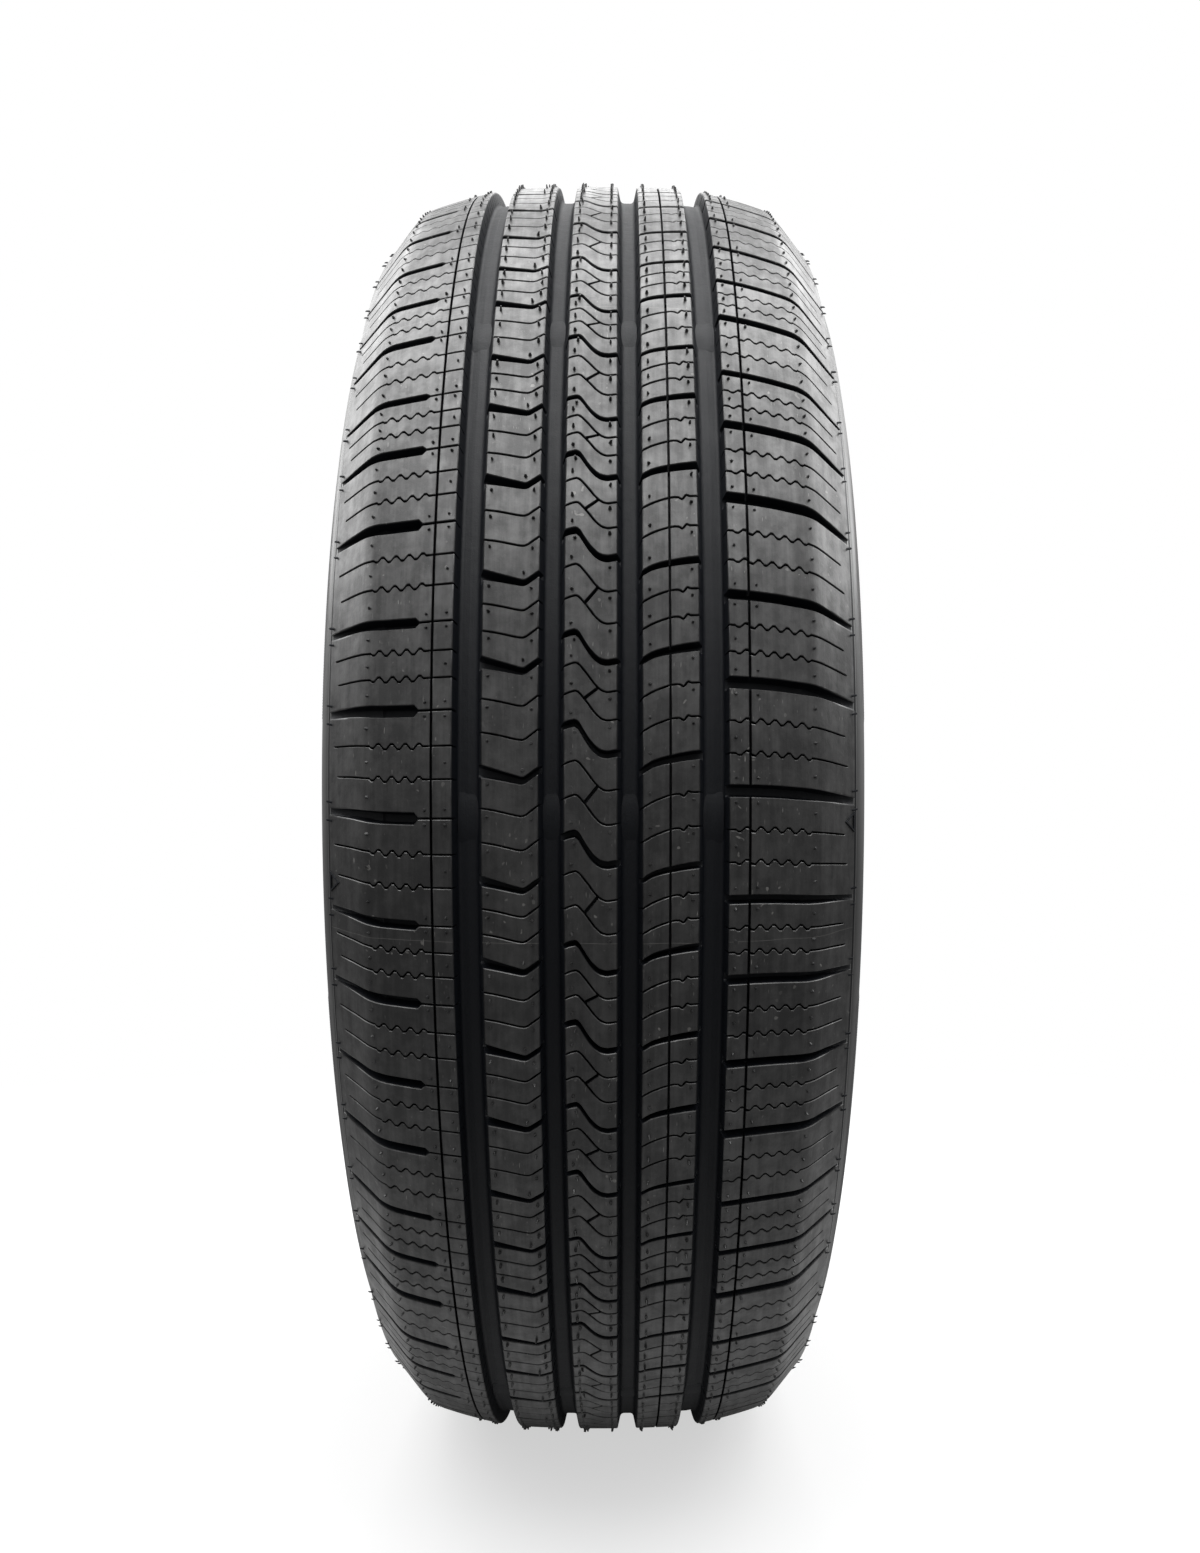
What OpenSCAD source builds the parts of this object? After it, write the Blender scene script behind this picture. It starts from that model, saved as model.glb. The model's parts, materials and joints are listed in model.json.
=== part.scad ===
// A radial passenger car tyre off its rim, standing on its tread.
// Millimetres. The wheel centre is the origin, the spin axis is +Y and up is +Z.
// Angles round the tyre start at +X and rise toward +Z.

/* [Overall size] */
// Outside diameter over the middle of the tread
outer_d = 739.2; // [725:0.2:760]
// Width across the sidewalls at their widest
section_w = 238; // [230:1:246]
// Height of the widest place, as a share of the height from the bead seat to the crown
widest_share = 0.46; // [0.44:0.005:0.5]
// Diameter of the bead seats, as for an 18 inch rim
bead_seat_d = 462; // [452:1:466]
// Width from the heel of one bead to the heel of the other
bead_spread = 180; // [170:1:190]
// Length of the flat on which the standing tyre rests
contact_len = 72; // [40:1:90]

/* [Casing] */
// Thickness of the crown and its tread at the middle
crown_wall = 16; // [14:0.5:19]
// Thickness of the sidewalls at their widest
side_wall = 7; // [6:0.5:10]
// How far the sidewall comes in from its widest place to the rim protector
protector_inset = 7.2; // [5:0.2:9]
// Distance from the middle at which the inside turns from the crown into the sidewall
inner_turn_x = 92; // [88:1:95]
// How much lower the inside lies at that turn than at the middle
inner_turn_drop = 12; // [9:0.5:14]
// Width of each bead from heel to toe
bead_base = 20; // [16:1:24]
// Radius on the heel of each bead
heel_round = 6; // [4:0.5:7]
// Radius of the hollow that sits over the rim flange
flange_round = 10; // [8:0.5:12]
// Height of the rim protector rib above the bead seat
protector_h = 26; // [24:0.5:28]
// How far the rim protector rib stands out from the sidewall
protector_out = 2; // [1:0.25:3]

/* [Tread profile] */
// Radius across the three middle ribs
crown_arc = 800; // [600:10:1200]
// Radius across each shoulder rib
shoulder_arc = 300; // [240:10:400]
// Slope of the shoulder rib where it starts, in degrees
shoulder_slope = 10; // [7:0.5:12]
// Distance from the middle at which the shoulder starts to turn down
bend_start = 85.5; // [84:0.1:90]
// Radius of the turn
bend_arc = 20; // [15:0.5:24]
// Slope of the buttress below the turn, in degrees
buttress_slope = 49; // [45:0.5:52]
// Distance from the middle to the lower edge of the buttress
edge_x = 109; // [107:0.25:110]
// Depth of the fine line under that edge
edge_line = 1; // [0.5:0.1:1.5]

/* [Main grooves] */
// Depth of the four main grooves
groove_depth = 8; // [6:0.25:8.5]
// Distance from the middle to the two inner main grooves
inner_groove_x = 15.6; // [14:0.1:17]
// Width of the inner main grooves at the surface
inner_groove_w = 10.1; // [8:0.1:12]
// Distance from the middle to the two outer main grooves
outer_groove_x = 49; // [47:0.1:50]
// Width of the outer main grooves at the surface
outer_groove_w = 11.8; // [9:0.1:13]
// Slope of the main groove walls, in degrees
groove_draft = 12; // [6:1:15]
// Bevel on the rib edges
rib_bevel = 0.5; // [0.2:0.1:1]
// Distance from the middle to the thin grooves in the shoulder ribs
shoulder_line_x = 63.2; // [60:0.2:66]
// Width of those thin grooves
shoulder_line_w = 1; // [0.8:0.1:2]
// Distance from the middle to the thin groove in the right middle rib
rib_line_x = 31.5; // [28:0.2:34]
// Width of that thin groove
rib_line_w = 0.9; // [0.6:0.1:1.5]
// Depth of all thin grooves
line_depth = 5; // [3:0.25:6]
// Height of the wear bars above the main groove floors
wear_bar_h = 1.6; // [1.2:0.1:2.4]
// Length of the wear bars round the tyre
wear_bar_len = 10; // [6:0.5:14]

/* [Cross grooves] */
// Depth of the grooves across the ribs
cross_depth = 6.5; // [4:0.25:7]
// Width of the grooves across the left middle rib, as all cross grooves on a pitch of length C
left_cross_w = 2.9; // [1.5:0.1:4]
// Width of the curved grooves across the centre rib
centre_cross_w = 2.7; // [1.5:0.1:3.2]
// Width of the grooves across the right middle rib
right_cross_w = 2.8; // [1.5:0.1:4]
// Width of the left shoulder grooves
left_slot_w = 4; // [2:0.1:5]
// Distance from the middle at which the left shoulder grooves narrow to a slit
left_slot_x = 69; // [66:0.5:75]
// Width of that slit
left_slit_w = 0.9; // [0.6:0.1:1.5]
// Width of the right shoulder grooves
right_slot_w = 3.9; // [2:0.1:5]
// Depth of the shoulder grooves at the lower edge of the buttress
slot_end_depth = 0.8; // [0.4:0.1:2]
// Slant of the shoulder grooves, in degrees
slot_slant = 3; // [0:0.5:5]

/* [Pitch sequence] */
// Shortest pitch, A, along the tread
pitch_a = 29.3; // [28:0.1:31]
// Pitch B
pitch_b = 33; // [31.5:0.1:34.5]
// Pitch C
pitch_c = 36.6; // [35:0.1:38]
// Pitch D
pitch_d = 39.5; // [38:0.1:41]
// Longest pitch, E
pitch_e = 43.5; // [42:0.1:45]
// Order of the pitches round the tyre
pitch_order = "DBACACECEEBCBCAADBCEBACDCBEACBDCAECBADCEBCABDCEBACDBCAECBADCAEBAD";
// Angle at which the first pitch starts, in degrees
first_pitch_at = 47.25; // [0:0.25:360]

/* [Hidden] */
$fn = 240;

outer_r = outer_d / 2;
seat_r = bead_seat_d / 2;
half_section = section_w / 2;
widest_r = seat_r + widest_share * (outer_r - seat_r);
heel_x = bead_spread / 2;
toe_x = heel_x - bead_base;
protector_r = seat_r + protector_h;
contact_z = -sqrt(outer_r * outer_r - contact_len * contact_len / 4);
mm_to_deg = 360 / (PI * outer_d);
// Longest straight step across a rib, and how far the cutting shapes reach past the rubber
land_step = 12;
clear = 5;
// Corners that ease the bead and the rim protector into the walls
flange_rise = 3;
protector_blend = 6;
protector_half = 2.5;
liner_foot = 8;
liner_lean = 5.5;
liner_rise_share = 0.29;
liner_turn_share = 0.4;
// Angle that each stretch of wall turns through from its widest place
upper_wall_turn = 30;
lower_wall_turn = 25;
inner_wall_turn = 40;
// Straight steps along each curve of the section
bend_steps = 3;
upper_wall_steps = 7;
lower_wall_steps = 4;
flange_steps = 4;
heel_steps = 3;
liner_steps = 6;
crown_steps = 5;

// Points on an arc in the [radius, sideways] plane
function arc(centre, rad, from, to, steps) =
    [for (i = [0:steps])
        let (a = from + (to - from) * i / steps)
        [centre[0] + rad * cos(a), centre[1] + rad * sin(a)]];

// Points on a cubic curve from a to d, pulled toward b and then c
function curve(a, b, c, d, steps) =
    [for (i = [0:steps])
        let (t = i / steps, u = 1 - t)
        u * u * u * a + 3 * u * u * t * b + 3 * u * t * t * c + t * t * t * d];

// Points on an arc that leaves the widest place along the radius, turns through an angle and is
// stretched to finish at the end point, so that a wall meets its neighbours at any size
function wall_curve(widest, end, turn, steps) =
    [for (i = [0:steps])
        let (a = turn * i / steps, rise = sin(a) / sin(turn), inset = (1 - cos(a)) / (1 - cos(turn)))
        [widest[0] + (end[0] - widest[0]) * rise, widest[1] + (end[1] - widest[1]) * inset]];

function reversed(list) = [for (i = [len(list) - 1:-1:0]) list[i]];
function tail(list) = [for (i = [1:len(list) - 1]) list[i]];
function mirrored(list) = [for (p = reversed(list)) [p[0], -p[1]]];

// Tread surface: the crown arc, the shoulder arc, the turn and the straight buttress
function crown_r(x) = outer_r - crown_arc + sqrt(crown_arc * crown_arc - x * x);
shoulder_cx = outer_groove_x - shoulder_arc * sin(shoulder_slope);
shoulder_cr = crown_r(outer_groove_x) - shoulder_arc * cos(shoulder_slope);
function shoulder_r(x) =
    shoulder_cr + sqrt(shoulder_arc * shoulder_arc - (x - shoulder_cx) * (x - shoulder_cx));
bend_slope = asin((bend_start - shoulder_cx) / shoulder_arc);
bend_cx = bend_start - bend_arc * sin(bend_slope);
bend_cr = shoulder_r(bend_start) - bend_arc * cos(bend_slope);
bend_end = bend_cx + bend_arc * sin(buttress_slope);
function bend_r(x) = bend_cr + sqrt(bend_arc * bend_arc - (x - bend_cx) * (x - bend_cx));
function buttress_r(x) = bend_r(bend_end) - (x - bend_end) * tan(buttress_slope);
function tread_r(x) =
    let (side = abs(x))
    side <= outer_groove_x ? crown_r(side)
    : side <= bend_start ? shoulder_r(side)
    : side <= bend_end ? bend_r(side)
    : buttress_r(side);

// Grooves that run round the tyre: [place, width at the surface, depth, wall slope]
ring_grooves = [
    [-shoulder_line_x, shoulder_line_w, line_depth, 0],
    [-outer_groove_x, outer_groove_w, groove_depth, groove_draft],
    [-inner_groove_x, inner_groove_w, groove_depth, groove_draft],
    [inner_groove_x, inner_groove_w, groove_depth, groove_draft],
    [rib_line_x, rib_line_w, line_depth, 0],
    [outer_groove_x, outer_groove_w, groove_depth, groove_draft],
    [shoulder_line_x, shoulder_line_w, line_depth, 0]
];
function floor_half(g) = g[1] / 2 - g[2] * tan(g[3]);
function groove_bevel(g) = g[3] > 0 ? rib_bevel : 0;
function groove_line(g) =
    let (half = g[1] / 2, bottom = tread_r(g[0]) - g[2], low = floor_half(g), cut = groove_bevel(g))
    concat(
        cut > 0 ? [[tread_r(g[0] - half) - cut, g[0] - half]] : [],
        [[bottom, g[0] - low], [bottom, g[0] + low]],
        cut > 0 ? [[tread_r(g[0] + half) - cut, g[0] + half]] : []);
function land_start(i) =
    let (g = ring_grooves[i])
    g[0] + g[1] / 2 + groove_bevel(g);
function land_end(i) =
    let (g = ring_grooves[i])
    g[0] - g[1] / 2 - groove_bevel(g);
function land(from, to) =
    let (steps = ceil((to - from) / land_step))
    [for (i = [0:steps]) let (x = from + (to - from) * i / steps) [tread_r(x), x]];
last_groove = len(ring_grooves) - 1;
shoulder_turn = concat(
    arc([bend_cr, bend_cx], bend_arc, bend_slope, buttress_slope, bend_steps),
    [[tread_r(edge_x), edge_x]]);
tread_line = concat(
    mirrored(shoulder_turn),
    land(-bend_start + rib_bevel, land_end(0)),
    [for (i = [0:last_groove])
        each concat(groove_line(ring_grooves[i]),
            land(land_start(i), i < last_groove ? land_end(i + 1) : bend_start - rib_bevel))],
    shoulder_turn);

// One side from under the buttress to the toe of the bead, then the inside up to the crown
widest_place = [widest_r, half_section];
wall_top = [tread_r(edge_x) - 2 * edge_line, edge_x - edge_line / 2];
protector_root = [protector_r + protector_blend, half_section - protector_inset];
protector_x = protector_root[1] + protector_out;
flange_centre_r = seat_r + heel_round + flange_rise;
outside = concat(
    [[tread_r(edge_x) - edge_line, edge_x - edge_line / 2]],
    reversed(wall_curve(widest_place, wall_top, upper_wall_turn, upper_wall_steps)),
    tail(wall_curve(widest_place, protector_root, lower_wall_turn, lower_wall_steps)),
    [[protector_r + protector_half, protector_x], [protector_r - protector_half, protector_x]],
    arc([flange_centre_r, heel_x + flange_round], flange_round, 0, -90, flange_steps),
    arc([seat_r + heel_round, heel_x - heel_round], heel_round, 90, 180, heel_steps),
    [[seat_r, toe_x]]);
inner_widest = widest_place - [0, side_wall];
inner_crown_r = outer_r - crown_wall;
inner_turn = [inner_crown_r - inner_turn_drop, inner_turn_x];
liner_arc = (inner_turn_x * inner_turn_x + inner_turn_drop * inner_turn_drop) / (2 * inner_turn_drop);
liner_start = [seat_r + liner_foot, toe_x];
liner_h = widest_r - liner_start[0];
inside = concat(
    curve(liner_start, liner_start + [liner_rise_share * liner_h, liner_lean],
        inner_widest - [liner_h * (1 - liner_turn_share), 0], inner_widest, liner_steps),
    tail(wall_curve(inner_widest, inner_turn, inner_wall_turn, upper_wall_steps)),
    [for (i = [1:crown_steps])
        let (x = inner_turn_x * (1 - i / crown_steps))
        [inner_crown_r - liner_arc + sqrt(liner_arc * liner_arc - x * x), x]]);
half_side = concat(outside, inside);
section_line = concat(tread_line, half_side, tail(mirrored(half_side)));

// The pitches: where each one starts along the tread, and its angle
pitch_sizes = [pitch_a, pitch_b, pitch_c, pitch_d, pitch_e];
pitch_count = len(pitch_order);
function pitch_len(i) = pitch_sizes[ord(pitch_order[i]) - ord("A")];
function sum_to(i) = i > 0 ? sum_to(i - 1) + pitch_len(i - 1) : 0;
pitch_starts = [for (i = [0:pitch_count]) sum_to(i)];
pitch_total = pitch_starts[pitch_count];
function pitch_angle(i) = first_pitch_at - 360 * pitch_starts[i] / pitch_total;
// Longer pitches have wider cross grooves
function pitch_width(i, w) = w * pitch_len(i) / pitch_c;

// A band along a path in the [sideways, round the tyre] plane. The third value of each point is
// its share of the band's width
function flat(p) = [p[0], p[1]];
function direction(path, i) =
    let (step = flat(path[min(i + 1, len(path) - 1)]) - flat(path[max(i - 1, 0)]))
    step / norm(step);
function band_side(path, w) =
    [for (i = [0:len(path) - 1])
        let (d = direction(path, i))
        flat(path[i]) + w * path[i][2] / 2 * [-d[1], d[0]]];
function band(path, w) = concat(band_side(path, w), reversed(band_side(path, -w)));

// Places a piece at an angle round the tyre: x is outward, y sideways, z round the tyre
module around(angle) rotate([0, -angle, 0]) children();

// A radial prism whose outline is given in the [sideways, round the tyre] plane
module radial_prism(outline, low, high)
    translate([low, 0, 0])
        rotate([90, 0, 90])
            linear_extrude(high - low)
                polygon(outline);

// Cross grooves of the middle ribs: [share of the rib's half width, rise round the tyre, share of
// the groove's width]. Each is placed by the height of its own start above the start of the pitch
left_rib = [-outer_groove_x + outer_groove_w / 2, -inner_groove_x - inner_groove_w / 2];
centre_rib = [-inner_groove_x + inner_groove_w / 2, inner_groove_x - inner_groove_w / 2];
right_rib = [inner_groove_x + inner_groove_w / 2, outer_groove_x - outer_groove_w / 2];
left_cross_start = 24.8;
left_cross_path = [[-1.2, 0, 1.45], [0.4, -4.5, 0.85], [0.53, -4.5, 0.85], [1.2, 0.4, 1]];
centre_cross_path = [
    [-1.25, -2.2, 1], [-0.62, 0, 1], [-0.44, -0.9, 0.8], [-0.1, -7.2, 0.65],
    [0.15, -10.5, 0.75], [0.38, -12.3, 0.95], [0.75, -12.7, 1], [1.25, -11.2, 1]];
right_cross_start = 31.4;
right_cross_path = [[-1.2, -7.8, 0.8], [-0.65, -3.9, 0.85], [-0.1, -2, 1], [1.2, 0.3, 1.2]];
left_slot_start = 6.1;
right_slot_start = 16.3;
slot_pivot_x = 80;

// Wear bars stand in pairs in the main grooves, four pairs round the tyre
wear_bar_angles = [-2.6, 33.4];
wear_bar_repeats = 4;

function in_rib(path, rib) =
    let (middle = (rib[0] + rib[1]) / 2, half = (rib[1] - rib[0]) / 2)
    [for (p = path) [middle + half * p[0], p[1], p[2]]];

module carcass()
    rotate([-90, 0, 0])
        rotate_extrude()
            polygon(section_line);

module wear_bar(g)
    let (bottom = tread_r(g[0]) - g[2], half = floor_half(g) + wear_bar_h * tan(g[3]) + rib_bevel)
    translate([bottom - wear_bar_h, g[0] - half, -wear_bar_len / 2])
        cube([2 * wear_bar_h, 2 * half, wear_bar_len]);

module wear_bars()
    for (turn = [0:wear_bar_repeats - 1], start = wear_bar_angles)
        around(start + 360 * turn / wear_bar_repeats)
            for (g = ring_grooves)
                if (g[3] > 0)
                    wear_bar(g);

// One groove across a middle rib, cut straight toward the axle
module rib_cross(path, rib, w)
    radial_prism(band(in_rib(path, rib), w),
        min(tread_r(rib[0]), tread_r(rib[1])) - cross_depth, outer_r + clear);

// The side view of a shoulder groove: an even depth that runs out at the buttress edge
function slot_side(inner_x) = [
    [outer_r + clear, inner_x],
    [tread_r(inner_x) - cross_depth, inner_x],
    [tread_r(bend_start) - cross_depth, bend_start],
    [tread_r(edge_x) - slot_end_depth, edge_x],
    [tread_r(edge_x) - slot_end_depth, edge_x + clear],
    [outer_r + clear, edge_x + clear]];

module shoulder_slot(side, inner_x, w)
    on_side(side)
        translate([0, slot_pivot_x, 0])
            rotate([slot_slant, 0, 0])
                translate([0, -slot_pivot_x, -w / 2])
                    linear_extrude(w)
                        polygon(slot_side(inner_x));

// Turns a right-hand shape over to the left side of the tread
module on_side(side)
    if (side < 0)
        mirror([0, 1, 0]) children();
    else
        mirror([0, 0, 1]) children();

// The slit that carries a left shoulder groove on to the main groove
module slit()
    translate([0, 0, -left_slit_w / 2])
        linear_extrude(left_slit_w)
            polygon([
                [outer_r + clear, -left_slot_x - 1],
                [tread_r(left_slot_x) - line_depth, -left_slot_x - 1],
                [tread_r(outer_groove_x) - line_depth, -outer_groove_x],
                [outer_r + clear, -outer_groove_x]]);

module cross_grooves()
    for (i = [0:pitch_count - 1]) {
        angle = pitch_angle(i);
        around(angle + left_cross_start * mm_to_deg)
            rib_cross(left_cross_path, left_rib, pitch_width(i, left_cross_w));
        around(angle)
            rib_cross(centre_cross_path, centre_rib, pitch_width(i, centre_cross_w));
        around(angle + right_cross_start * mm_to_deg)
            rib_cross(right_cross_path, right_rib, pitch_width(i, right_cross_w));
        around(angle + left_slot_start * mm_to_deg) {
            shoulder_slot(-1, left_slot_x, pitch_width(i, left_slot_w));
            slit();
        }
        around(angle + right_slot_start * mm_to_deg)
            shoulder_slot(1, outer_groove_x, pitch_width(i, right_slot_w));
    }

module ground_cut()
    translate([-contact_len, -section_w / 2, contact_z - 2 * clear])
        cube([2 * contact_len, section_w, 2 * clear]);

module tyre()
    color("dimgray")
        difference() {
            union() {
                carcass();
                wear_bars();
            }
            cross_grooves();
            ground_cut();
        }

tyre();
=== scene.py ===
# %% [markdown]
# # A radial car tyre, off its rim
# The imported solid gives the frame: the wheel centre is the origin, the spin axis is +Y and up
# is +Z. Everything below is worked out in millimetres and turned into metres when a mesh is
# made. The tread is drawn as five ribs, because a rib is what a tyre maker draws: a strip of
# rubber with its own grooves, sipes and vent nubs, repeated round the tyre in uneven pitches.

# %% Load the frame
import json
import math

import bpy
import numpy as np
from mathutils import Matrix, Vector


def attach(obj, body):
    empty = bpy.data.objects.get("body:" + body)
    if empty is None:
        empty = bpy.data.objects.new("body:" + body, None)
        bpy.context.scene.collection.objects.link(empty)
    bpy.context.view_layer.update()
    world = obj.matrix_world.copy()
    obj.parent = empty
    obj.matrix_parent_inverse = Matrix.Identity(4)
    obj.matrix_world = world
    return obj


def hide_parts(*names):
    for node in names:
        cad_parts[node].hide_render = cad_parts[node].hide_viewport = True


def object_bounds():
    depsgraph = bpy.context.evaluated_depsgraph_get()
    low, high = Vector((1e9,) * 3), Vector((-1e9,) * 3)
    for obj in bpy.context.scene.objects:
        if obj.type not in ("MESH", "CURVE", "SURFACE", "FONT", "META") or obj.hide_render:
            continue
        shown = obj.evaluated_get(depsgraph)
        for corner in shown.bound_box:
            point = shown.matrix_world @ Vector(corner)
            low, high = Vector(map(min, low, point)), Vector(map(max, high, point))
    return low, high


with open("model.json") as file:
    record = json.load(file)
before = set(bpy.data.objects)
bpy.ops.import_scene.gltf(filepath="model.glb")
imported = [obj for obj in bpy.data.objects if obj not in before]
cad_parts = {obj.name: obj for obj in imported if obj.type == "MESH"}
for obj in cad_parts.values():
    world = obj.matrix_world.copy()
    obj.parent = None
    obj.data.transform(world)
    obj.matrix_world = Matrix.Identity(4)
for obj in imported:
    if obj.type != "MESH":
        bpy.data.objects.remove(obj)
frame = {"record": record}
cad_low, cad_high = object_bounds()
MM = 0.001
OUTER_R = round(cad_high.x / MM, 1)
GROUND_Z = cad_low.z / MM
SEAT_R = next(m["dims"]["r_mm"] for m in frame["record"]["mounts"] if m["kind"] == "bore")
print(f"outer radius {OUTER_R:.1f}, bead seat radius {SEAT_R:.1f}, ground at {GROUND_Z:.2f} mm")

# %% [markdown]
# ## Camera
# The photograph looks at the tread from a little below the axle, with the lens level. A level
# lens that is shifted, instead of tilted, keeps the ribs as upright as the photograph has them.

# %% Camera at the photograph's place
PHOTO_H = 1553
FOCAL_PX = 1436
LENS_OFF_PX = (-19, 115.5)
CAMERA_AT = (0.9325, 0.0112, -0.0462)
SENSOR = 36


def place_object(name, data):
    """A new object in the scene, at the origin."""
    placed = bpy.data.objects.new(name, data)
    bpy.context.scene.collection.objects.link(placed)
    return placed


camera = place_object("camera", bpy.data.cameras.new("camera"))
camera.location = CAMERA_AT
camera.rotation_euler = (math.pi / 2, 0, math.pi / 2)
camera.data.sensor_width = SENSOR
camera.data.lens = SENSOR * FOCAL_PX / PHOTO_H
camera.data.shift_x = LENS_OFF_PX[0] / PHOTO_H
camera.data.shift_y = LENS_OFF_PX[1] / PHOTO_H
camera.data.clip_start = 0.05
bpy.context.scene.camera = camera
print(f"lens {camera.data.lens:.2f} mm")

# %% [markdown]
# ## The tread's cross section
# Seen from the side, the tread is a flat arc over the three middle ribs, a rounder arc over each
# shoulder rib, a quick turn, and a straight buttress down to a sharp edge. One function gives
# the radius at any distance from the middle, and another the slope there, so that grooves and
# nubs can stand square to the surface.

# %% Radius and slope of the tread
CROWN_ARC, SHOULDER_ARC, BEND_ARC = 800, 300, 20
SHOULDER_FROM, BEND_FROM, EDGE_X = 49, 85.5, 109
SHOULDER_SLOPE, BUTTRESS_SLOPE = math.radians(10), math.radians(49)


def crown_r(x):
    """Radius of the crown arc: outer radius - crown arc + sqrt(crown arc^2 - x^2)."""
    return OUTER_R - CROWN_ARC + np.sqrt(CROWN_ARC**2 - np.square(x))


SHOULDER_X = SHOULDER_FROM - SHOULDER_ARC * math.sin(SHOULDER_SLOPE)
SHOULDER_R = crown_r(SHOULDER_FROM) - SHOULDER_ARC * math.cos(SHOULDER_SLOPE)
BEND_SLOPE = math.asin((BEND_FROM - SHOULDER_X) / SHOULDER_ARC)
BEND_X = BEND_FROM - BEND_ARC * math.sin(BEND_SLOPE)
BEND_R = SHOULDER_R + (SHOULDER_ARC - BEND_ARC) * math.cos(BEND_SLOPE)
BEND_TO = BEND_X + BEND_ARC * math.sin(BUTTRESS_SLOPE)


def tread_slope(x):
    """Angle by which the tread falls away from the middle, at each distance x."""
    side = np.abs(x)
    crown = np.arcsin(np.clip(side / CROWN_ARC, 0, 1))
    shoulder = np.arcsin(np.clip((side - SHOULDER_X) / SHOULDER_ARC, 0, 1))
    bend = np.arcsin(np.clip((side - BEND_X) / BEND_ARC, 0, math.sin(BUTTRESS_SLOPE)))
    return np.where(side <= SHOULDER_FROM, crown, np.where(side <= BEND_FROM, shoulder, bend))


def tread_r(x):
    """Radius of the tread at x: each arc is its centre plus its radius times cos(slope)."""
    side, slope = np.abs(x), tread_slope(x)
    shoulder = SHOULDER_R + SHOULDER_ARC * np.cos(slope)
    past = np.maximum(side - BEND_TO, 0)
    bend = BEND_R + BEND_ARC * np.cos(slope) - past * math.tan(BUTTRESS_SLOPE)
    crown = crown_r(np.minimum(side, SHOULDER_FROM))
    return np.where(side <= SHOULDER_FROM, crown, np.where(side <= BEND_FROM, shoulder, bend))


EDGE_R = float(tread_r(EDGE_X))
print(f"buttress edge at radius {EDGE_R:.1f} mm, {OUTER_R - EDGE_R:.1f} mm below the crown")

# %% [markdown]
# ## The pitch sequence
# A tread with equal blocks would hum, so the maker mixes five lengths of block. Each letter is
# one pitch. The rows of every rib mesh are hung on the angles at which the pitches start.

# %% Angles of the pitches
PITCHES = {"A": 29.3, "B": 33, "C": 36.6, "D": 39.5, "E": 43.5}
ORDER = "DBACACECEEBCBCAADBCEBACDCBEACBDCAECBADCEBCABDCEBACDBCAECBADCAEBAD"
FIRST_AT = math.radians(47.25)

pitch = np.array([PITCHES[letter] for letter in ORDER])[:, None]
pitch_scale = pitch / pitch.mean()
pitch_angle = FIRST_AT - 2 * math.pi * (np.cumsum(pitch)[:, None] - pitch) / pitch.sum()
print(f"{len(ORDER)} pitches, {pitch.sum():.1f} mm round the tread")

# %% [markdown]
# ## From arrays to meshes
# Each piece is a grid of points: rows run round the tyre, columns run across it. Both ways the
# grid can close on itself, which makes a watertight ring with no seam. The points go into the
# mesh with foreach_set, as whole arrays.


# %% Mesh helpers
def grid_faces(rows, columns, close_rows=True, close_columns=True):
    """Quads of a grid whose point (row, column) has the number row * columns + column."""
    k = np.arange(rows if close_rows else rows - 1)[:, None]
    j = np.arange(columns if close_columns else columns - 1)[None, :]
    below, right = (k + 1) % rows, (j + 1) % columns
    corners = (k * columns + j, below * columns + j, below * columns + right, k * columns + right)
    return np.stack(corners, -1).reshape(-1, 4)


def around(x, r, angle):
    """Points in the frame: r cos(angle) forward, x sideways, r sin(angle) up, cut at the ground."""
    up = np.maximum(r * np.sin(angle), GROUND_Z)
    return np.stack(np.broadcast_arrays(r * np.cos(angle), x, up), -1).reshape(-1, 3)


def inside_box(points):
    """Points held inside the solid's own box, so that no nub makes the tyre bigger."""
    return np.clip(points, np.array(cad_low) / MM, np.array(cad_high) / MM)


def build(name, points, faces, sharp=32, **attributes):
    """A mesh object at the origin from points in millimetres and quads, with point attributes."""
    mesh = bpy.data.meshes.new(name)
    mesh.vertices.add(len(points))
    mesh.vertices.foreach_set("co", (inside_box(points) * MM).astype(np.float32).ravel())
    mesh.loops.add(faces.size)
    mesh.loops.foreach_set("vertex_index", faces.astype(np.int32).ravel())
    mesh.polygons.add(len(faces))
    mesh.polygons.foreach_set("loop_start", np.arange(0, faces.size, 4, dtype=np.int32))
    mesh.polygons.foreach_set("use_smooth", np.ones(len(faces), bool))
    mesh.update(calc_edges=True)
    mesh.set_sharp_from_angle(angle=math.radians(sharp))
    for key, values in attributes.items():
        layer = mesh.attributes.new(key, "FLOAT", "POINT")
        layer.data.foreach_set("value", np.ravel(values).astype(np.float32))
    print(f"{name}: {2 * len(faces)} triangles")
    return place_object(name, mesh)


# %% [markdown]
# ## What a rib is made of
# A rib's columns start on the floor of the main groove at its left, climb the groove's wall,
# cross the land and go down the next wall. Thin grooves that run round the tyre are columns
# too: they only need a depth. A column is a place x and a depth.

# %% Columns: main groove walls and thin grooves
GROOVE_DEPTH, GROOVE_DRAFT, GROOVE_FILLET = 8, math.radians(12), 2
INNER_GROOVE, OUTER_GROOVE = (15.6, 10.1), (49, 11.8)
RIB_BEVEL, EASE = 0.45, 0.5
LINE_DEPTH, LINE_EDGE, LINE_DRAFT = 5, 0.2, 0.05
SHOULDER_LINE, RIB_LINE = (63.2, 1.0), (31.5, 0.9)


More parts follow.
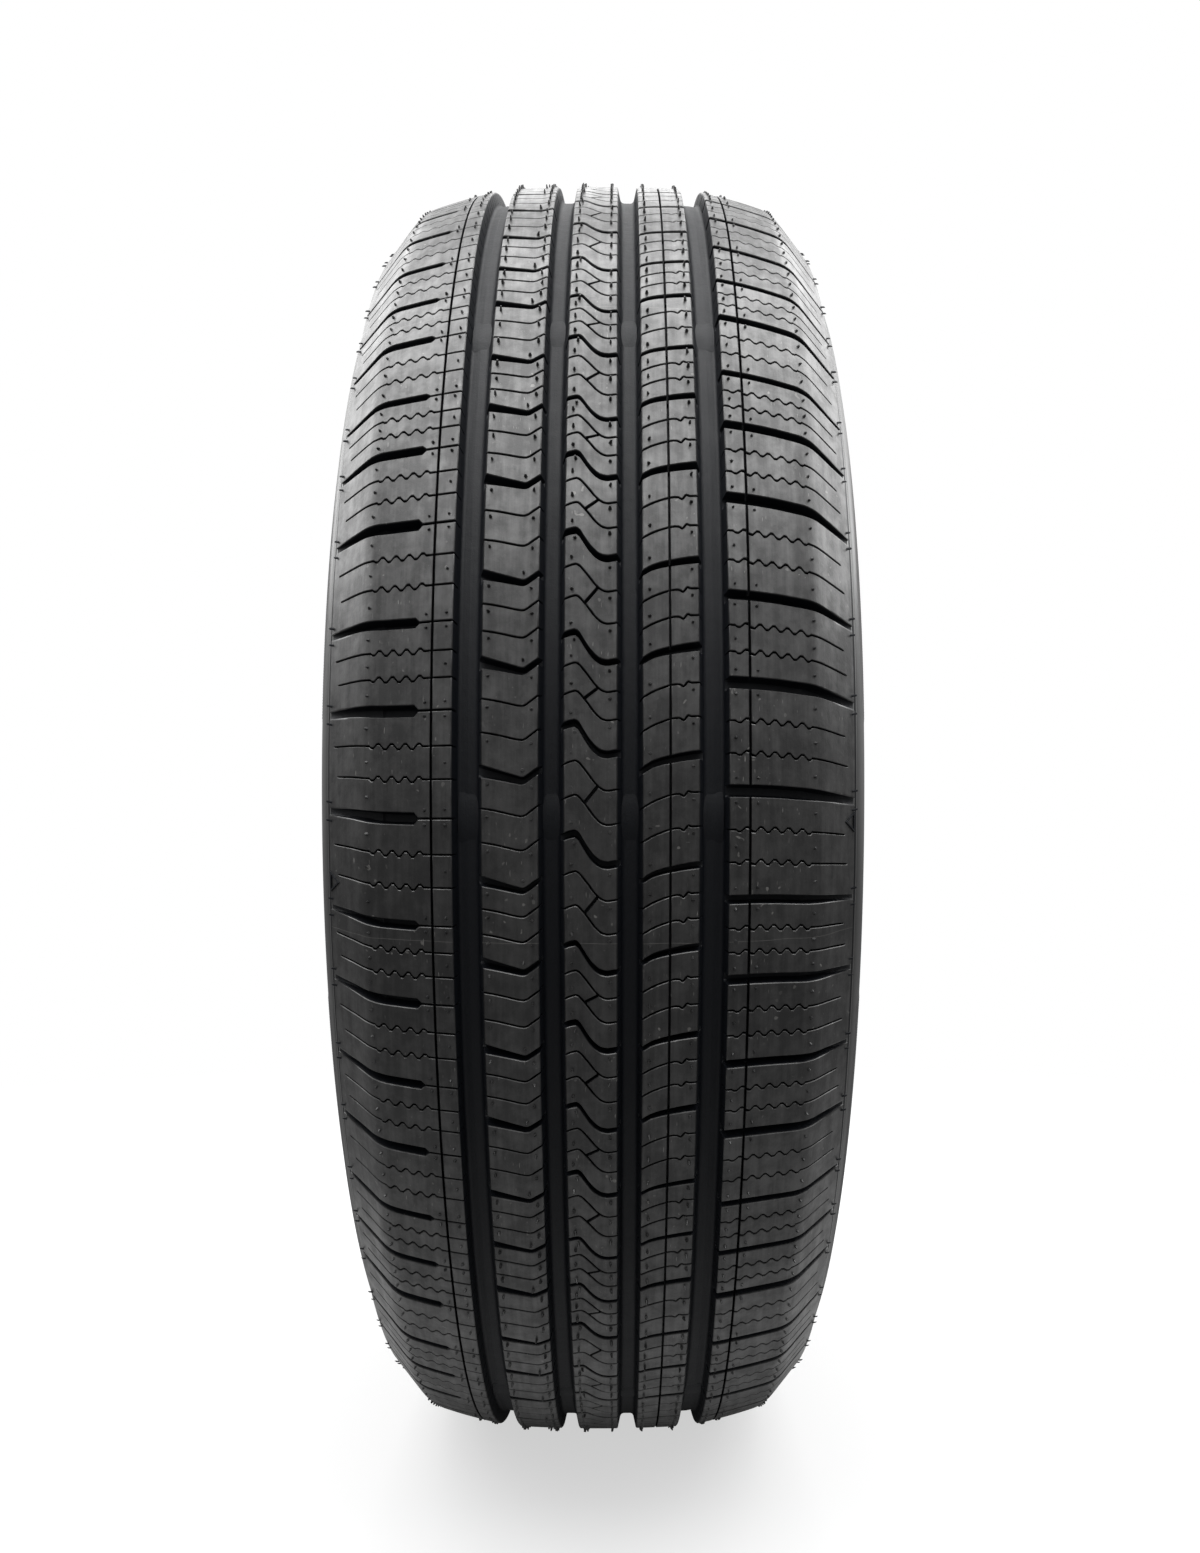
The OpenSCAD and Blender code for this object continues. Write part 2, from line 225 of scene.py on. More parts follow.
def groove_half(groove, side, way):
    """Columns from the middle of a main groove to the rib's top: floor, fillet arc, drafted
    wall, bevel. The fillet is centre + 2 mm * (sin a, cos a). side is -1 for the left one of a
    pair of grooves, and way is 1 for a rib at the groove's right."""
    place, width = side * groove[0], groove[1]
    turn = np.linspace(0, math.pi / 2 - GROOVE_DRAFT, 4)
    foot = width / 2 - GROOVE_DEPTH * math.tan(GROOVE_DRAFT)
    centre = foot - GROOVE_FILLET * math.tan((math.pi / 2 - GROOVE_DRAFT) / 2)
    top = [width / 2, width / 2 + RIB_BEVEL, width / 2 + RIB_BEVEL + EASE]
    off = np.concatenate([[0], centre + GROOVE_FILLET * np.sin(turn), top])
    low = GROOVE_DEPTH - GROOVE_FILLET + GROOVE_FILLET * np.cos(turn)
    depth = np.concatenate([[GROOVE_DEPTH], low, [RIB_BEVEL, 0, 0]])
    return (place + off, depth) if way > 0 else (place - off[::-1], depth[::-1])


def thin_groove(place, width):
    """Columns of a thin groove: edge, wall foot, wall foot, edge."""
    off = width / 2 + np.array([LINE_EDGE, 0, -LINE_DRAFT])
    depth = [0, LINE_EDGE, LINE_DEPTH]
    return place + np.append(-off, off[::-1]), np.array(depth + depth[::-1])


def land(*places):
    """Columns on the surface of a rib."""
    return np.array(places, float), np.zeros(len(places))


def columns(*parts):
    """All columns of a rib, from left to right, as places and depths."""
    return tuple(np.concatenate(side) for side in zip(*parts))


print(f"a groove half has {len(groove_half(INNER_GROOVE, 1, 1)[0])} columns")

# %% [markdown]
# ## Cuts across a rib
# A groove or sipe that crosses a rib is a line, a width and a depth. Its rows are worked out
# for all pitches at once: for each row of its cross section the line is moved up or down by the
# half width. Where the line slopes, a sipe is stretched to keep its width square to the line, and
# a groove hardly at all, as on the real tread. Where a cut ends, its width and depth shrink to
# almost nothing and its rows lie together.

# %% Rows of a cut
CROSS_DEPTH, SIPE_DEPTH, SIPE_W = 6.5, 4, 0.74
GROOVE_ROWS = ((1, 0.8, 0), (1, 0.3, 0), (1, 0, 0.05), (0.9, 0, 0.85), (0.6, 0, 1))
SIPE_ROWS = ((1, 0.24, 0), (1, 0, 0.06), (0.8, 0, 1))
LAND_ROWS = 1
CLOSED = 0.06
PROBE = 0.05
GROOVE_STRETCH, SIPE_STRETCH = 0.1, 0.5


def rounded(x, places, values, reach=0.6):
    """A broken line through (places, values) with its corners rounded, by the mean of nine
    readings spread over reach on both sides of x."""
    spread = np.linspace(-reach, reach, 9)
    return np.interp(np.asarray(x)[..., None] + spread, places, values).mean(-1)


class Cut:
    """A groove or sipe: line(x) is its height above the start of the pitch, share how much of
    the pitch lower it lies, width(x) and depth(x) its size, and shown(x) 1 where it exists."""

    def __init__(self, line, width, depth, rows, share=0, shown=None, grows=0):
        self.line, self.width, self.depth, self.rows, self.share = line, width, depth, rows, share
        self.shown = shown or (lambda x: np.ones_like(x))
        self.grows = grows
        self.stretch = GROOVE_STRETCH if rows is GROOVE_ROWS else SIPE_STRETCH

    def height(self, x):
        """Height of the cut's line above the start of each pitch."""
        return self.line(x) - self.share * pitch

    def half(self, x):
        """Half the cut's width, longer pitches having wider grooves."""
        return self.width(x) / 2 * (1 + self.grows * (pitch_scale - 1))

    def place(self, x):
        """Heights and depths, each [pitch, row, column], from the top row to the bottom row. The
        half width is stretched by (1 + slope^2) to a power: a half keeps it square to the line."""
        slope = (self.line(x + PROBE) - self.line(x - PROBE)) / (2 * PROBE)
        lean = (1 + slope**2) ** self.stretch
        shown = np.broadcast_to(self.shown(x), x.shape)
        heights, depths = [], []
        for way, rows in ((1, self.rows), (-1, self.rows[::-1])):
            for share, extra, down in rows:
                out = (self.half(x) * share + extra) * lean * np.maximum(shown, CLOSED)
                heights.append(self.height(x) + way * out)
                depths.append(np.broadcast_to(self.depth(x) * down * shown, out.shape))
        return np.stack(heights, 1), np.stack(depths, 1)


print(f"a groove has {2 * len(GROOVE_ROWS)} rows, a sipe {2 * len(SIPE_ROWS)}")

# %% [markdown]
# ## Building a rib
# The rows of the cuts and the rows of land between them are laid one after another round the
# tyre. The depth of a point is the deeper of its row's and its column's. The depth goes straight
# toward the axle under the middle ribs, and square to the surface on the buttress. The rib ends
# in a plain underside, sunk in the casing.

# %% Rib builder
UNDERSIDE = 12
TURN_FROM, TURN_TO = 66, 92


def depth_lean(x):
    """Angle between a cut's depth and the radius: 0 to 66 mm, the full slope from 92 mm on."""
    t = np.clip((np.abs(x) - TURN_FROM) / (TURN_TO - TURN_FROM), 0, 1)
    return tread_slope(x) * t * t * (3 - 2 * t)


def sink(x, r, depth):
    """The point (x, r) taken down into the rubber by depth, along the depth's own direction."""
    lean = depth_lean(x)
    return x - np.sign(x) * depth * np.sin(lean), r - depth * np.cos(lean)


def rib_rows(x, cuts):
    """Angles and depths of all rows of a rib, each [row, column]. x is [column], or
    [row of one pitch, column] where columns lean."""
    per_pitch = sum(2 * len(c.rows) + LAND_ROWS for c in cuts)
    x = np.broadcast_to(x, (per_pitch, x.shape[-1]))
    angles, depths, at = [], [], 0
    for c in cuts:
        count = 2 * len(c.rows)
        height, depth = c.place(x[at + count // 2])
        for i in range(count):
            exact_h, exact_d = c.place(x[at + i])
            height[:, i], depth[:, i] = exact_h[:, i], exact_d[:, i]
        angles.append(pitch_angle[:, :, None] + height / OUTER_R)
        depths.append(depth)
        at += count + LAND_ROWS
    starts = angles[1:] + [np.roll(angles[0], -1, axis=0)]
    starts[-1][-1] -= 2 * math.pi
    rows, downs = [], []
    for above, below, depth in zip(angles, starts, depths):
        part = np.linspace(0, 1, LAND_ROWS + 2)[1:-1][:, None]
        between = above[:, -1:] + (below[:, :1] - above[:, -1:]) * part
        rows += [above, between]
        downs += [depth, np.zeros_like(between)]
    flat = (len(ORDER) * per_pitch, x.shape[-1])
    return np.concatenate(rows, 1).reshape(flat), np.concatenate(downs, 1).reshape(flat)


def rib(name, places, floor, cuts, foot, extra=None):
    """A closed rib. foot lists the (x, r) points of its underside from right to left."""
    angle, depth = rib_rows(places, cuts)
    x = np.broadcast_to(places, (angle.shape[0] // len(ORDER), angle.shape[1]))
    x = np.tile(x, (len(ORDER), 1))
    depth = np.maximum(depth, floor if extra is None else np.tile(extra, (len(ORDER), 1)))
    side, radius = sink(x, tread_r(x), depth)
    right, left = angle[:, -1:], angle[:, :1]
    under = [(np.full_like(right, p[0]), np.full_like(right, p[1])) for p in foot]
    turns = [right if i < len(foot) / 2 else left for i in range(len(foot))]
    side = np.hstack([side] + [u[0] for u in under])
    radius = np.hstack([radius] + [u[1] for u in under])
    angle = np.hstack([angle] + turns)
    depth = np.hstack([depth] + [np.full_like(right, UNDERSIDE)] * len(foot))
    points = around(side, radius, angle)
    return build(name, points, grid_faces(*angle.shape), depth=depth)


def plain_foot(left, right):
    """The underside of a middle rib, from one groove's middle to the next."""
    return [(x, float(tread_r(x)) - UNDERSIDE) for x in (right, left)]


print("rib builder ready")

# %% [markdown]
# ## The three middle ribs
# Each line below is read off the tread as heights above the start of a pitch. The left rib has
# a shallow hook, the centre rib a long S, and the right rib a slow climb. Two sipes of the same
# shape divide each pitch in three. In the centre rib a short slanting sipe joins the two.

# %% Left middle rib
SIPE_SHARES = (0.34, 0.65)
LEFT_START, RIGHT_START = 24.6, 31.1


def even(value):
    """A width or depth that is the same all along a cut."""
    return lambda x: np.full_like(x, value)


def tapered(places, widths):
    """A width that changes evenly from one place to the next."""
    return lambda x: np.interp(x, places, widths)


def rib_cuts(groove_line, groove_width, sipe_line, grows):
    """The groove and the two sipes of one pitch of a middle rib."""
    sipes = [Cut(sipe_line, even(SIPE_W), even(SIPE_DEPTH), SIPE_ROWS, s) for s in SIPE_SHARES]
    return [Cut(groove_line, groove_width, even(CROSS_DEPTH), GROOVE_ROWS, grows=grows)] + sipes


def left_line(x):
    """Falls straight from the left edge to a low point 26.7 mm from the middle, then climbs."""
    return LEFT_START + rounded(x, [-46, -27.4, -26, -20.9, -17], [0.7, -3.95, -3.85, -0.15, 2.6])


def left_sipe_line(x):
    """The same hook with a flatter bottom and a steeper climb."""
    places = [-46, -43.2, -38.9, -34.3, -29.7, -27.9, -26.7, -25.1, -23.6, -20.9, -17]
    rises = [0.4, 0, -0.66, -1.66, -2.8, -3.1, -3.15, -2.5, -1.2, 0.8, 3.6]
    return LEFT_START + rounded(x, places, rises, 0.15)


left_width = tapered([-43, -38.9, -34.3, -29.7, -26.7, -21], [4.4, 3.75, 3.3, 2.9, 2.6, 2.5])
left_rib_cuts = rib_cuts(left_line, left_width, left_sipe_line, 0.7)
left_rib_columns = columns(
    groove_half(OUTER_GROOVE, -1, 1),
    land(-40.5, -38, -35, -32, -29.5, -28.2, -27.4, -26.8, -26.2, -25.4, -24, -22.4),
    groove_half(INNER_GROOVE, -1, -1),
)
left_rib = rib("left_rib", *left_rib_columns, left_rib_cuts,
               plain_foot(-OUTER_GROOVE[0], -INNER_GROOVE[0]))

# %% Centre rib, with the slanting sipe that links its two sipes
LINK_REACH, LINK_SHIFTS, LINK_DEPTH = 8, (2.7, -2.2), 3.5


def centre_line(x):
    """A long S that falls 13 mm from left to right."""
    places = [-14, -10.3, -8.25, -5.96, -4.58, -3.2, -0.9, 1.4, 3.7, 6.45, 10.4, 14]
    rises = [-2.8, -1.2, -0.45, 0, -1.2, -3.6, -7.5, -10.3, -12.1, -12.7, -12, -11.2]
    return rounded(x, places, rises, 0.4)


def centre_sipe_line(x):
    """The same S, a little less steep."""
    places = [-14, -10.1, -8.2, -5.96, -4.6, -2.75, -0.9, 1.4, 3.7, 5.5, 6.9, 10.4, 14]
    rises = [-3, -1.5, -0.65, 0, -0.75, -3, -5.4, -8.7, -11, -11.9, -12.1, -11.5, -10.8]
    return rounded(x, places, rises, 0.4)


def link_shift():
    """How far the middle columns move sideways on each row of a pitch: from right to left
    between the two sipes, and back again over the groove."""
    groove, sipe = 2 * len(GROOVE_ROWS), 2 * len(SIPE_ROWS)
    rows = groove + 2 * sipe + 3 * LAND_ROWS
    first, second = groove + LAND_ROWS, groove + sipe + 2 * LAND_ROWS
    at = [-1, first + sipe / 2, first + sipe - 1, second, second + sipe / 2, rows]
    shift = [0, LINK_SHIFTS[0], LINK_SHIFTS[0], LINK_SHIFTS[1], LINK_SHIFTS[1], 0]
    between = np.zeros(rows, bool)
    between[first + sipe // 2:second + sipe // 2] = True
    return np.interp(np.arange(rows), at, shift)[:, None], between[:, None]


centre_cuts = rib_cuts(centre_line, even(2.5), centre_sipe_line, 1)
link = (np.array([-0.5, -0.36, -0.32, 0.32, 0.36, 0.5]), np.array([0, 0.15, 1, 1, 0.15, 0]))
centre_places, centre_floor = columns(
    groove_half(INNER_GROOVE, -1, 1),
    land(-8.6, -7.4, -6.4, -5.4, -4.4, -3.2, -1.8),
    (link[0], np.zeros(6)),
    land(1.8, 3.2, 4.4, 5.4, 6.6, 7.8, 8.8),
    groove_half(INNER_GROOVE, 1, -1),
)
shift, linked = link_shift()
centre_x = centre_places + shift * np.clip(1 - np.abs(centre_places) / LINK_REACH, 0, 1)
link_floor = np.interp(centre_places, link[0], link[1] * LINK_DEPTH, left=0, right=0)
centre_depth = np.maximum(centre_floor, link_floor * linked)
centre_rib = rib("centre_rib", centre_x, centre_floor, centre_cuts,
                 plain_foot(-INNER_GROOVE[0], INNER_GROOVE[0]), centre_depth)


# %% Right middle rib
def right_line(x):
    """Climbs from the inner groove to the outer one, steeply at first."""
    places = [17, 21.2, 24.2, 27.4, 31.1, 35.6, 40.2, 43.2, 47]
    rises = [-8.6, -5.9, -4, -2.85, -2, -1.1, -0.35, 0, 0.5]
    return RIGHT_START + rounded(x, places, rises)


def right_sipe(x):
    """The same climb, with a small step near its outer end."""
    places = [17, 21.2, 24.2, 27.4, 31.1, 33.3, 35.3, 36.7, 38.5, 39.7, 43, 47]
    rises = [-8.6, -5.9, -4.1, -2.65, -1.4, -0.85, -0.9, -1.85, 0.4, -0.2, 0, 0.2]
    return RIGHT_START + rounded(x, places, rises, 0.2)


right_width = tapered([24, 31, 43], [2.3, 2.65, 3.05])
right_rib_cuts = rib_cuts(right_line, right_width, right_sipe, 1)
right_rib_columns = columns(
    groove_half(INNER_GROOVE, 1, 1),
    land(22.6, 24, 26, 28.5),
    thin_groove(*RIB_LINE),
    land(33.6, 35.2, 36, 36.7, 37.3, 37.9, 38.5, 39.1, 39.8, 41),
    groove_half(OUTER_GROOVE, 1, -1),
)
right_rib = rib("right_rib", *right_rib_columns, right_rib_cuts,
                plain_foot(INNER_GROOVE[0], OUTER_GROOVE[0]))

# %% [markdown]
# ## The shoulder ribs
# A shoulder groove keeps its depth to the turn and then runs out at the buttress edge. The left
# one narrows to a slit before it meets the main groove. The sipes zigzag over the flat part, so
# that their walls lock together under load, and run straight down the buttress.

# %% Shapes that both shoulders use
SLOT_RUNOUT = 0.8
NOTCH = (0.5, 1)
TIP_HALF, TIP_STEP = 0.55, 2.835
END_FADE, SLOT_BLEND = 3, 1.5
FOOT_IN, FOOT_DOWN = 4.5, 5


def slot_depth(x):
    """Even up to the turn, then the distance to a straight floor that runs out at the edge."""
    side = np.abs(x)
    start = (float(tread_r(BEND_FROM)) - CROSS_DEPTH, BEND_FROM)
    fall, run = EDGE_R - SLOT_RUNOUT - start[0], EDGE_X - start[1]
    lean = depth_lean(x)
    above = run * (tread_r(x) - start[0]) - fall * (side - start[1])
    down = above / (run * np.cos(lean) - fall * np.sin(lean))
    return np.where(side > BEND_FROM, np.clip(down, 0, CROSS_DEPTH), CROSS_DEPTH)


def slot_width(x, width):
    """The width over the flat part, shrinking down the buttress."""
    return width * np.interp(np.abs(x), [88, 108], [1, 0.65])


def cut_tips(tips):
    """Both ends of each short cut tip."""
    return np.repeat(tips, 2) + np.tile([-TIP_HALF, TIP_HALF], len(tips))


def zigzag(x, tips, rises, ends):
    """A wave with straight flanks and short cut tips: 0 at both ends."""
    return np.interp(x, np.concatenate([[ends[0]], cut_tips(tips), [ends[1]]]),
                     np.concatenate([[0], np.repeat(rises, 2), [0]]))


def shoulder_foot(way):
    """Underside of a shoulder rib: from the edge's notch, inside the casing, to the groove."""
    edge = (way * (EDGE_X - NOTCH[0]), EDGE_R - NOTCH[1])
    deep = (way * (EDGE_X - FOOT_IN), EDGE_R - FOOT_DOWN)
    turn = (way * BEND_FROM, float(tread_r(BEND_FROM)) - UNDERSIDE)
    middle = (way * OUTER_GROOVE[0], float(tread_r(OUTER_GROOVE[0])) - UNDERSIDE)
    points = [edge, deep, turn, middle]
    return points if way > 0 else points[::-1]


def ends_at(outer):
    """1 up to a distance from the middle and 0 beyond it, over a third of a millimetre."""
    return lambda x: np.clip((outer - np.abs(x)) * END_FADE, 0, 1)


print(f"slot depth on the buttress: {slot_depth(np.array([90.0, 100.0, 109.0])).round(1)} mm")

# %% Left shoulder rib
LEFT_TIPS = np.append(-87.6, -85 + TIP_STEP * np.arange(7))
LEFT_RISES = np.append(-0.75, np.where(np.arange(7) % 2 == 0, 1.05, -1.05))
LEFT_WAVE = (-88.9, -66.5)


def left_slot(x):
    """Level over the flat part, rising a little down the buttress."""
    places = [-112, -104, -98, -91, -84, -72, -40]
    return rounded(x, places, [9.6, 8.6, 8, 6.9, 6.2, 5.8, 5.8], SLOT_BLEND)


def left_slot_width(x):
    """A slit up to 68.6 mm from the middle, and the full groove from 70.2 mm on."""
    return slot_width(x, np.interp(np.abs(x), [68.6, 70.2], [0.8, 4.15]))


def left_slot_depth(x):
    """As deep as the thin grooves in the slit, and as the cross grooves beyond it."""
    return np.minimum(slot_depth(x), np.interp(np.abs(x), [68.5, 69.5], [LINE_DEPTH, CROSS_DEPTH]))


def left_sipe(x):
    """The groove's line with eight tips between 67 and 88 mm from the middle."""
    return left_slot(x) + zigzag(x, LEFT_TIPS, LEFT_RISES, LEFT_WAVE)


left_shoulder_columns = columns(
    land(-EDGE_X, -EDGE_X + 0.5),
    land(-106.6, -106.2, -104.9, -104.5, -101, -98, -95.5, -93.2, -91.6, -90.2, LEFT_WAVE[0]),
    land(*cut_tips(LEFT_TIPS)),
    land(LEFT_WAVE[1], -65),
    thin_groove(-SHOULDER_LINE[0], SHOULDER_LINE[1]),
    land(-59.5),
    groove_half(OUTER_GROOVE, -1, -1),
)
left_shoulder_cuts = [
    Cut(left_slot, left_slot_width, left_slot_depth, GROOVE_ROWS, grows=0.9),
    Cut(left_sipe, even(SIPE_W), even(SIPE_DEPTH), SIPE_ROWS, 0.333, ends_at(106.5)),
    Cut(left_sipe, even(SIPE_W), even(SIPE_DEPTH), SIPE_ROWS, 0.64, ends_at(104.8)),
]
left_shoulder = rib("left_shoulder", *left_shoulder_columns, left_shoulder_cuts, shoulder_foot(-1))

# %% Right shoulder rib
RIGHT_TIPS = np.concatenate([[58.9], 61.9 + TIP_STEP * np.arange(9), [87.4]])
RIGHT_RISES = np.concatenate([[-0.75], np.where(np.arange(9) % 2 == 0, 0.95, -0.95), [-0.85]])
RIGHT_WAVE, LINE_CLEAR = (57.3, 88.7), 1.1


def right_slot(x):
    """Level over the flat part, falling a little down the buttress."""
    places = [40, 66, 75, 84, 91, 98, 104, 112]
    return rounded(x, places, [16.9, 16.9, 16.6, 16, 15.6, 15, 14.3, 13.4], SLOT_BLEND)


def right_sipe_line(x):
    """The groove's line with eleven tips between 58 and 88 mm from the middle."""
    return right_slot(x) + zigzag(x, RIGHT_TIPS, RIGHT_RISES, RIGHT_WAVE)


tip_places = cut_tips(RIGHT_TIPS)
before = tip_places[tip_places < SHOULDER_LINE[0] - LINE_CLEAR]
after = tip_places[tip_places > SHOULDER_LINE[0] + LINE_CLEAR]
right_shoulder_columns = columns(
    groove_half(OUTER_GROOVE, 1, 1),
    land(RIGHT_WAVE[0], *before),
    thin_groove(*SHOULDER_LINE),
    land(*after),
    land(RIGHT_WAVE[1], 90.2, 91.6, 93.2, 95.5, 98, 101, 104, 104.4, 105.3, 105.7),
    land(EDGE_X - 0.5, EDGE_X),
)
right_shoulder_cuts = [
    Cut(right_slot, lambda x: slot_width(x, 4), slot_depth, GROOVE_ROWS, grows=1.2),
    Cut(right_sipe_line, even(SIPE_W), even(SIPE_DEPTH), SIPE_ROWS, 0.356, ends_at(104.3)),
    Cut(right_sipe_line, even(SIPE_W), even(SIPE_DEPTH), SIPE_ROWS, 0.656, ends_at(105.6)),
]
right_shoulder = rib("right_shoulder", *right_shoulder_columns, right_shoulder_cuts,
                     shoulder_foot(1))
ribs = [left_shoulder, left_rib, centre_rib, right_rib, right_shoulder]

# %% [markdown]
# ## The casing
# Under the tread a tyre is one body turned about its axle: the belt package, two sidewalls, the
# rim protector ribs, the beads and the air-tight liner inside. So the casing is one closed
# outline carried round a full circle. The sidewalls carry only plain rings.

# %% Casing outline
CASING_DEPTH = 10
HALF_SECTION, WIDEST_R = cad_high.y / MM, SEAT_R + 0.46 * (OUTER_R - SEAT_R)
SIDE_WALL, CROWN_WALL = 7, 16
PROTECTOR_R, PROTECTOR_OUT = SEAT_R + 26, 2
HEEL_X, TOE_X, HEEL_ROUND, FLANGE_ROUND = 90, 70, 6, 10
NOTCH_SUNK, LINE_SUNK, BAND_BED, RING_CREASE = -0.3, -0.6, -0.35, 0.3
RING_LINE_R, RING_LINE_HALF, BAND_TOP_R, BAND_LOW_R = 331.7, 0.95, 329.4, 303
WALL_TOP = (EDGE_X - NOTCH[0], EDGE_R - 2 * NOTCH[1])
WALL_FOOT = (HALF_SECTION - 7.2, PROTECTOR_R + 6)
INNER_TURN = (92, OUTER_R - CROWN_WALL - 12)


def arc(x, r, size, start, stop, steps):
    """Points x + size * sin(a), r + size * cos(a), for a from start to stop in degrees."""
    a = np.radians(np.linspace(start, stop, steps))
    return np.stack([x + size * np.sin(a), r + size * np.cos(a)], 1)


def wall_to(widest_x, end, turn):
    """The sideways place of a wall at radius r. It leaves the widest place along the radius,
    turns through an angle a and ends at (x, r): sin(a) grows evenly with r, and x moves in by
    1 - cos(a)."""
    full = math.radians(turn)

    def place(r):
        share = (np.asarray(r, float) - WIDEST_R) / (end[1] - WIDEST_R)
        turned = np.arcsin(np.clip(share * math.sin(full), -1, 1))
        return widest_x + (end[0] - widest_x) * (1 - np.cos(turned)) / (1 - math.cos(full))

    return place


upper_wall = wall_to(HALF_SECTION, WALL_TOP, 30)
lower_wall = wall_to(HALF_SECTION, WALL_FOOT, 25)
inner_wall = wall_to(HALF_SECTION - SIDE_WALL, INNER_TURN, 40)


def wall_rings(radii, raised, wall):
    """Points of a sidewall: wall(r) plus how far each point is raised."""
    return np.stack([wall(radii) + raised, radii], 1)


under_x = np.array([0, 12, 24, 36, 48, 58, 68, 78, 86, 92, 97, 101])
under = np.stack([under_x, tread_r(under_x) - CASING_DEPTH], 1)
line_off = RING_LINE_HALF + np.array([0.15, 0])
shoulder_wall = wall_rings(
    np.concatenate([WALL_TOP[1] - np.array([0, 0.3, 0.6, 1.2]), RING_LINE_R + line_off,
                    RING_LINE_R - line_off[::-1], [BAND_TOP_R + RING_CREASE, BAND_TOP_R]]),
    np.array([NOTCH_SUNK, NOTCH_SUNK, 0, 0, 0, LINE_SUNK, LINE_SUNK, 0, 0, BAND_BED]), upper_wall)
band_r = np.linspace(BAND_TOP_R - 2, BAND_LOW_R + 1, 9)
band_wall = wall_rings(band_r, np.full(9, BAND_BED), upper_wall)
below_band = wall_rings(np.array([BAND_LOW_R, BAND_LOW_R - RING_CREASE, 300, 297.5]),
                        np.array([BAND_BED, 0, 0, 0]), upper_wall)
LOW_RADII = np.array([294, 290, 287, 284.6, 284.2, 283.4, 283, 280, 276, 272, 271.6, 271.2, 268,
                      265])
LOW_RAISED = np.array([0, 0, 0, 0, -0.5, -0.5, 0, 0, 0, 0, -0.4, 0, 0, 0.2])
low_wall = wall_rings(LOW_RADII, LOW_RAISED, lower_wall)
protector_x = WALL_FOOT[0] + PROTECTOR_OUT
PROTECTOR_EDGE = np.array([[-1.3, 5], [-0.4, 3.6], [0, 2], [0, -1.6], [-0.5, -2.6], [-2, -3.4]])
protector = PROTECTOR_EDGE + [protector_x, PROTECTOR_R]
flange_r = SEAT_R + HEEL_ROUND + 3
flange = arc(HEEL_X + FLANGE_ROUND, flange_r, FLANGE_ROUND, 0, -90, 8)
heel = arc(HEEL_X - HEEL_ROUND, SEAT_R + HEEL_ROUND, HEEL_ROUND, 90, 180, 7)
bead = np.array([[(HEEL_X + TOE_X) / 2, SEAT_R], [TOE_X + 1, SEAT_R], [TOE_X, SEAT_R + 1],
                 [TOE_X, SEAT_R + 5]])
print(f"rim protector at x {protector_x:.1f}, radius {PROTECTOR_R:.0f} mm")

# %% [markdown]
# The inside is one curve from the bead's toe to the widest place, a wall 7 mm inside the outer
# one, and a flat arc under the crown.

# %% Liner outline and the casing mesh
CASING_STEPS = 320
TOE_RISE, LINER_LEAN, LINER_RISE, LINER_TURN = 8, 5.5, 0.29, 0.4

toe = np.array([TOE_X, SEAT_R + TOE_RISE])
widest = np.array([HALF_SECTION - SIDE_WALL, WIDEST_R])
height = widest[1] - toe[1]
pulls = toe + [LINER_LEAN, LINER_RISE * height], widest - [0, (1 - LINER_TURN) * height]
t = np.linspace(0, 1, 13)[:, None]
bead_curve = ((1 - t) ** 3 * toe + 3 * t * (1 - t) ** 2 * pulls[0] + 3 * t**2 * (1 - t) * pulls[1]
              + t**3 * widest)
inner_r = np.linspace(WIDEST_R, INNER_TURN[1], 10)[1:]
inner_up = np.stack([inner_wall(inner_r), inner_r], 1)
rise = OUTER_R - CROWN_WALL - INNER_TURN[1]
liner_arc = (INNER_TURN[0] ** 2 + rise**2) / (2 * rise)
crown_x = INNER_TURN[0] * (1 - np.linspace(0, 1, 9)[1:])
crown_rise = np.sqrt(liner_arc**2 - crown_x**2) - liner_arc
liner_crown = np.stack([crown_x, OUTER_R - CROWN_WALL + crown_rise], 1)
outer_half = np.vstack([under, shoulder_wall, band_wall, below_band, low_wall, protector, flange,
                        heel, bead])
inner_half = np.vstack([bead_curve, inner_up, liner_crown])
right_half = np.vstack([outer_half, inner_half])
left_half = right_half[1:-1][::-1] * [-1, 1]
outline = np.vstack([right_half, left_half])

casing_angle = -np.linspace(0, 2 * math.pi, CASING_STEPS, endpoint=False)[:, None]


def both_sides(right):
    """A value of each right-hand outline point, repeated for the left side and round the tyre."""
    return np.tile(np.concatenate([right, right[1:-1][::-1]]), CASING_STEPS)


is_liner = np.concatenate([np.zeros(len(outer_half)), np.ones(len(inner_half))])
# This marks the sunk notch under the buttress edge and the sunk ring line on each shoulder wall.
# The wall rubber paints them in the grooves' black without coat: painted shade in shallow sunk
# lines.
is_painted_shade_line = np.zeros(len(right_half))
is_painted_shade_line[len(under):len(under) + len(shoulder_wall)] = [1, 1, 0, 0, 0, 1, 1, 0, 0, 0]
casing = build("casing", around(outline[:, 0], outline[:, 1], casing_angle),
               grid_faces(CASING_STEPS, len(outline)), sharp=40,
               liner=both_sides(is_liner), line=both_sides(is_painted_shade_line))

# %% [markdown]
# ## Ribbed bands on the sidewalls
# Below the buttress each sidewall has a band of very fine radial ridges, which hides small waves
# in the wall. It is a ring of its own, raised and lowered by turns. Plain smooth panels break it
# up, where a maker would put words.

# %% Ribbed bands
RIDGES = 1500
RIDGE_RISE, VALLEY_DEPTH, PANEL_LIFT, BAND_SUNK, BAND_THICK = 0.28, 0.1, 0.35, 0.3, 2
PANEL_CENTRES = np.radians([-6, 174])
PANEL_HALF, PANEL_EDGE = math.radians(11), math.radians(0.35)


